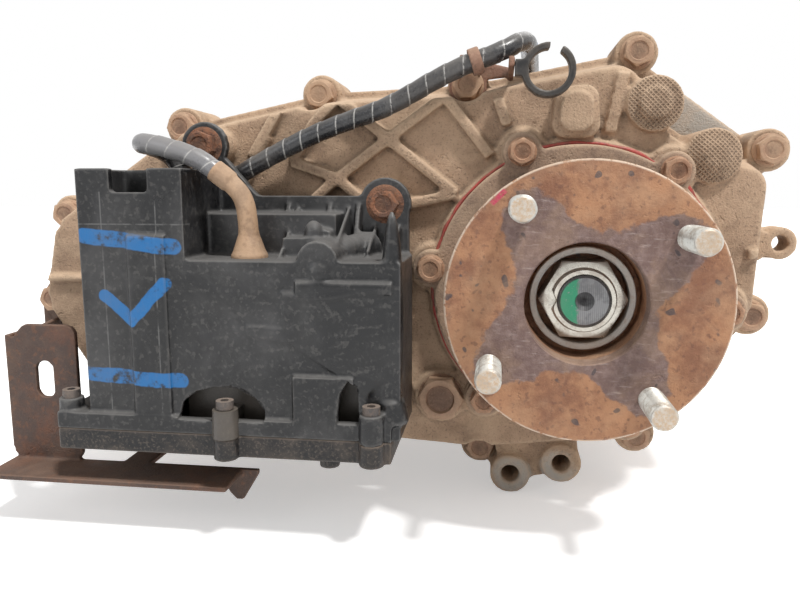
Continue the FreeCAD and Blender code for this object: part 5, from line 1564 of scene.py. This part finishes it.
@dataclass(frozen=True)
class Hose:
    """A tube along a smoothed route, with its own UV along and around it."""

    name: str
    route: tuple[Point, ...]
    profile: tuple[tuple[float, float], ...]
    finish: Finish
    slot: str
    node: str
    pitch: float = 0.0
    step: float = 0.0
    rounds: int = 3
    spacing: float = 0.8
    segments: int = 36

    def line(self) -> list[Vector]:
        """The route with its corners cut, in even steps.

        Returns:
            Points in millimetres.
        """
        points = [Vector(point) for point in self.route]
        for _ in range(self.rounds):
            cut = [points[0]]
            for first, second in zip(points, points[1:]):
                cut += [first.lerp(second, 0.25), first.lerp(second, 0.75)]
            points = cut + [points[-1]]
        even, left = [points[0]], self.spacing
        for first, second in zip(points, points[1:]):
            length = (second - first).length
            at = left
            while at <= length:
                even.append(first.lerp(second, at / length))
                at += self.spacing
            left = at - length
        return even

    def radius(self, along: float, around: float) -> float:
        """Radius at a place, with the small step of each turn of tape.

        Args:
            along: millimetres from the start.
            around: part of a turn.

        Returns:
            The radius in millimetres.
        """
        size = self.profile[-1][1]
        for (a0, r0), (a1, r1) in zip(self.profile, self.profile[1:]):
            if a0 <= along < a1:
                size = r0 + (r1 - r0) * (along - a0) / (a1 - a0)
                break
        if self.pitch > 0:
            size += self.step * ((along / self.pitch + around) % 1.0 - 0.5)
        return size

    def build(self) -> None:
        """Sweep the rings along the line."""
        line = self.line()
        built = bmesh.new()
        layer = built.loops.layers.uv.new("wrap")
        heads = [(after - before).normalized() for before, after in zip(line, line[1:])]
        heads.append(heads[-1])
        side = heads[0].orthogonal().normalized()
        rings = []
        for index, (centre, head) in enumerate(zip(line, heads)):
            side = (side - head * side.dot(head)).normalized()
            other = head.cross(side)
            ring = []
            for part in range(self.segments):
                share = part / self.segments
                reach = self.radius(index * self.spacing, share)
                turn = 2 * math.pi * share
                spot = centre + (side * math.cos(turn) + other * math.sin(turn)) * reach
                ring.append(built.verts.new(spot * MM))
            rings.append(ring)
        for index, (first, second) in enumerate(zip(rings, rings[1:])):
            for part in range(self.segments):
                after = (part + 1) % self.segments
                face = built.faces.new((first[part], first[after], second[after], second[part]))
                places = ((index, part), (index, part + 1), (index + 1, part + 1), (index + 1, part))
                for loop, (along, around) in zip(face.loops, places):
                    loop[layer].uv = (along * self.spacing * MM, around / self.segments)
        built.faces.new(rings[0])
        built.faces.new(rings[-1])
        piece = link(self.name, to_mesh(self.name, built))
        declare(piece, self.finish, "case", (self.node,))


class Harness:
    """The flared boot and the taped loom, both held."""

    boot = Hose(
        "harness_boot_skin", ((-160.5, 8.0, 18.5), (-160.5, 7.6, 34.0), (-161.5, 6.4, 47.0), (-168.0, 6.0,
                                                                                              54.5),
                              (-176.0, 6.0, 60.5)),
        ((0.0, 8.9), (1.2, 9.0), (3.0, 8.0), (11.0, 5.2), (14.0, 4.8), (38.0, 4.6), (39.0, 5.3), (44.0,
                                                                                                  5.4),
         (200.0, 5.4)), BOOT, "seal_rubber", "harness_boot")
    loom = Hose(
        "harness_loom_skin", (
            (-172.0, 6.0, 57.5), (-184.0, 6.0, 66.5), (-204.0, 7.0, 72.5), (-217.0, 12.0, 74.0),
            (-222.0, 32.0, 74.0), (-219.0, 52.0, 70.0), (-206.0, 50.0, 52.0), (-190.0, 48.6, 52.0),
            (-178.0, 48.4, 60.0), (-145.0, 48.4, 77.0), (-120.0, 48.4, 86.5), (-98.0, 48.4, 93.0),
            (-66.0, 48.5, 111.0), (-41.0, 50.0, 119.5), (-30.0, 60.0, 127.0), (-26.0, 80.0, 128.5),
            (-24.0, 120.0, 128.0), (-20.0, 190.0, 128.0), (-20.0, 205.0, 127.0), (-20.0, 205.0, 116.0),
            (-20.0, 205.0, 105.0)),
        ((0.0, 4.85), (1000.0, 4.85)), WRAP, "loom_plastic", "harness_loom", 10.2, 0.34)

    def build(self) -> None:
        """Build both."""
        self.boot.build()
        self.loom.build()


# ------------------------------------------------------------------------------- scene
@dataclass
class Lamp:
    """An area lamp."""

    name: str
    place: Point
    aim: Point
    size: float
    power: float
    colour: Colour = (1.0, 1.0, 1.0)
    distant: bool = False

    def build(self) -> None:
        """Put the lamp in the scene."""
        data = bpy.data.lights.new(self.name, "SUN" if self.distant else "AREA")
        if self.distant:
            data.angle = self.size
        else:
            data.size = self.size
        data.energy = self.power
        data.color = self.colour
        lamp = bpy.data.objects.new(self.name, data)
        lamp.location = self.place
        lamp.rotation_euler = (Vector(self.aim) - Vector(self.place)).to_track_quat("-Z", "Y").to_euler()
        bpy.context.scene.collection.objects.link(lamp)


class Studio:
    """Floor, lamps, sky and camera."""

    floor_z = -0.1245
    floor_reach = 6.0
    floor_glow = 0.42
    sky_light = 0.42
    lens = 32.4
    sensor = 36.0
    eye = (-0.040, -0.330, 0.052)
    tilt = 8.84
    pan = 7.81

    def build(self) -> None:
        """Build the surroundings."""
        self.floor()
        self.sky()
        self.camera()
        Lamp("key", (0.5, -0.55, 1.5), (-0.1, 0.05, 0.0), 0.12, 3.1, (1.0, 0.985, 0.96),
             distant=True).build()
        Lamp("fill", (-1.3, -1.3, 0.8), (-0.1, 0.05, 0.0), 0.9, 6.0, (0.96, 0.98, 1.0)).build()
        Lamp("rim", (0.4, 1.3, 1.3), (-0.1, 0.1, 0.05), 1.0, 8.0).build()

    def floor(self) -> None:
        """A pale floor just under the lowest point."""
        built = bmesh.new()
        reach = self.floor_reach
        corners = [(-reach, -reach), (reach, -reach), (reach, reach), (-reach, reach)]
        built.faces.new([built.verts.new((x, y, self.floor_z)) for x, y in corners])
        floor = link("floor", to_mesh("floor", built))
        floor.data.materials.append(self.backdrop())
        floor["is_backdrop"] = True

    def backdrop(self) -> bpy.types.Material:
        """The floor's material: white, and a little brighter to the eye than the light makes it.

        Returns:
            The material.
        """
        made = bpy.data.materials.new("backdrop")
        made.use_nodes = True
        graph = Graph(made.node_tree)
        shader = made.node_tree.nodes["Principled BSDF"]
        shade = graph.span(graph.noise(graph.place(), 3.0, 2.0), 0.2, 0.8, 0.86, 0.9)
        join = graph.add("ShaderNodeCombineColor")
        for index in range(3):
            graph.feed(join.inputs[index], shade)
        graph.feed(shader.inputs["Base Color"], join.outputs[0])
        shader.inputs["Roughness"].default_value = 0.9
        shader.inputs["Emission Color"].default_value = (1.0, 1.0, 1.0, 1.0)
        graph.feed(shader.inputs["Emission Strength"], graph.times(self.seen(graph), self.floor_glow))
        return made

    def seen(self, graph: Graph) -> Value:
        """Whether a ray looks at the surroundings rather than gathers their light.

        Args:
            graph: the node tree to add to.

        Returns:
            1 for camera, glossy and transmission rays, else 0.
        """
        path = graph.add("ShaderNodeLightPath")
        mirrored = graph.math("MAXIMUM", path.outputs["Is Glossy Ray"], path.outputs["Is Transmission Ray"])
        return graph.math("MAXIMUM", path.outputs["Is Camera Ray"], mirrored)

    def sky(self) -> None:
        """White to the eye, and a lower light all around."""
        world = bpy.data.worlds.new("sky")
        world.use_nodes = True
        graph = Graph(world.node_tree)
        back = world.node_tree.nodes["Background"]
        back.inputs["Color"].default_value = (1.0, 1.0, 1.0, 1.0)
        graph.feed(back.inputs["Strength"], graph.span(self.seen(graph), 0.0, 1.0, self.sky_light, 1.0))
        bpy.context.scene.world = world

    def camera(self) -> None:
        """The camera behind the rear flange and a little above it."""
        data = bpy.data.cameras.new("camera")
        data.lens = self.lens
        data.sensor_width = self.sensor
        data.clip_start = 0.01
        camera = bpy.data.objects.new("camera", data)
        camera.location = self.eye
        camera.rotation_euler = (math.radians(90.0 - self.tilt), 0.0, math.radians(self.pan))
        bpy.context.scene.collection.objects.link(camera)
        bpy.context.scene.camera = camera


def dress_frame() -> None:
    """Give every CAD node the finish of its kind."""
    for name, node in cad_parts.items():
        finish = NODE_FINISHES.get(name, STEEL)
        node.data.materials.clear()
        node.data.materials.append(finish.material())


def note_size(when: str, sizes: dict[str, list[float]]) -> None:
    """Note the size of all that is shown.

    Args:
        when: the key to note it under.
    """
    low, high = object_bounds()
    sizes[when] = [round(b - a, 5) for a, b in zip(low, high)]


def main() -> None:
    """Build and dress the whole part."""
    logging.basicConfig(level=logging.INFO, format="%(message)s")
    bpy.context.scene.view_settings.view_transform = "Standard"
    sizes: dict[str, list[float]] = {}
    note_size("frame", sizes)
    dress_frame()
    for assembly in (Castings(), Outputs(), Actuator(), SheetMetal(), Harness(), Studio()):
        assembly.build()
    note_size("finished", sizes)


if __name__ == "__main__":
    main()
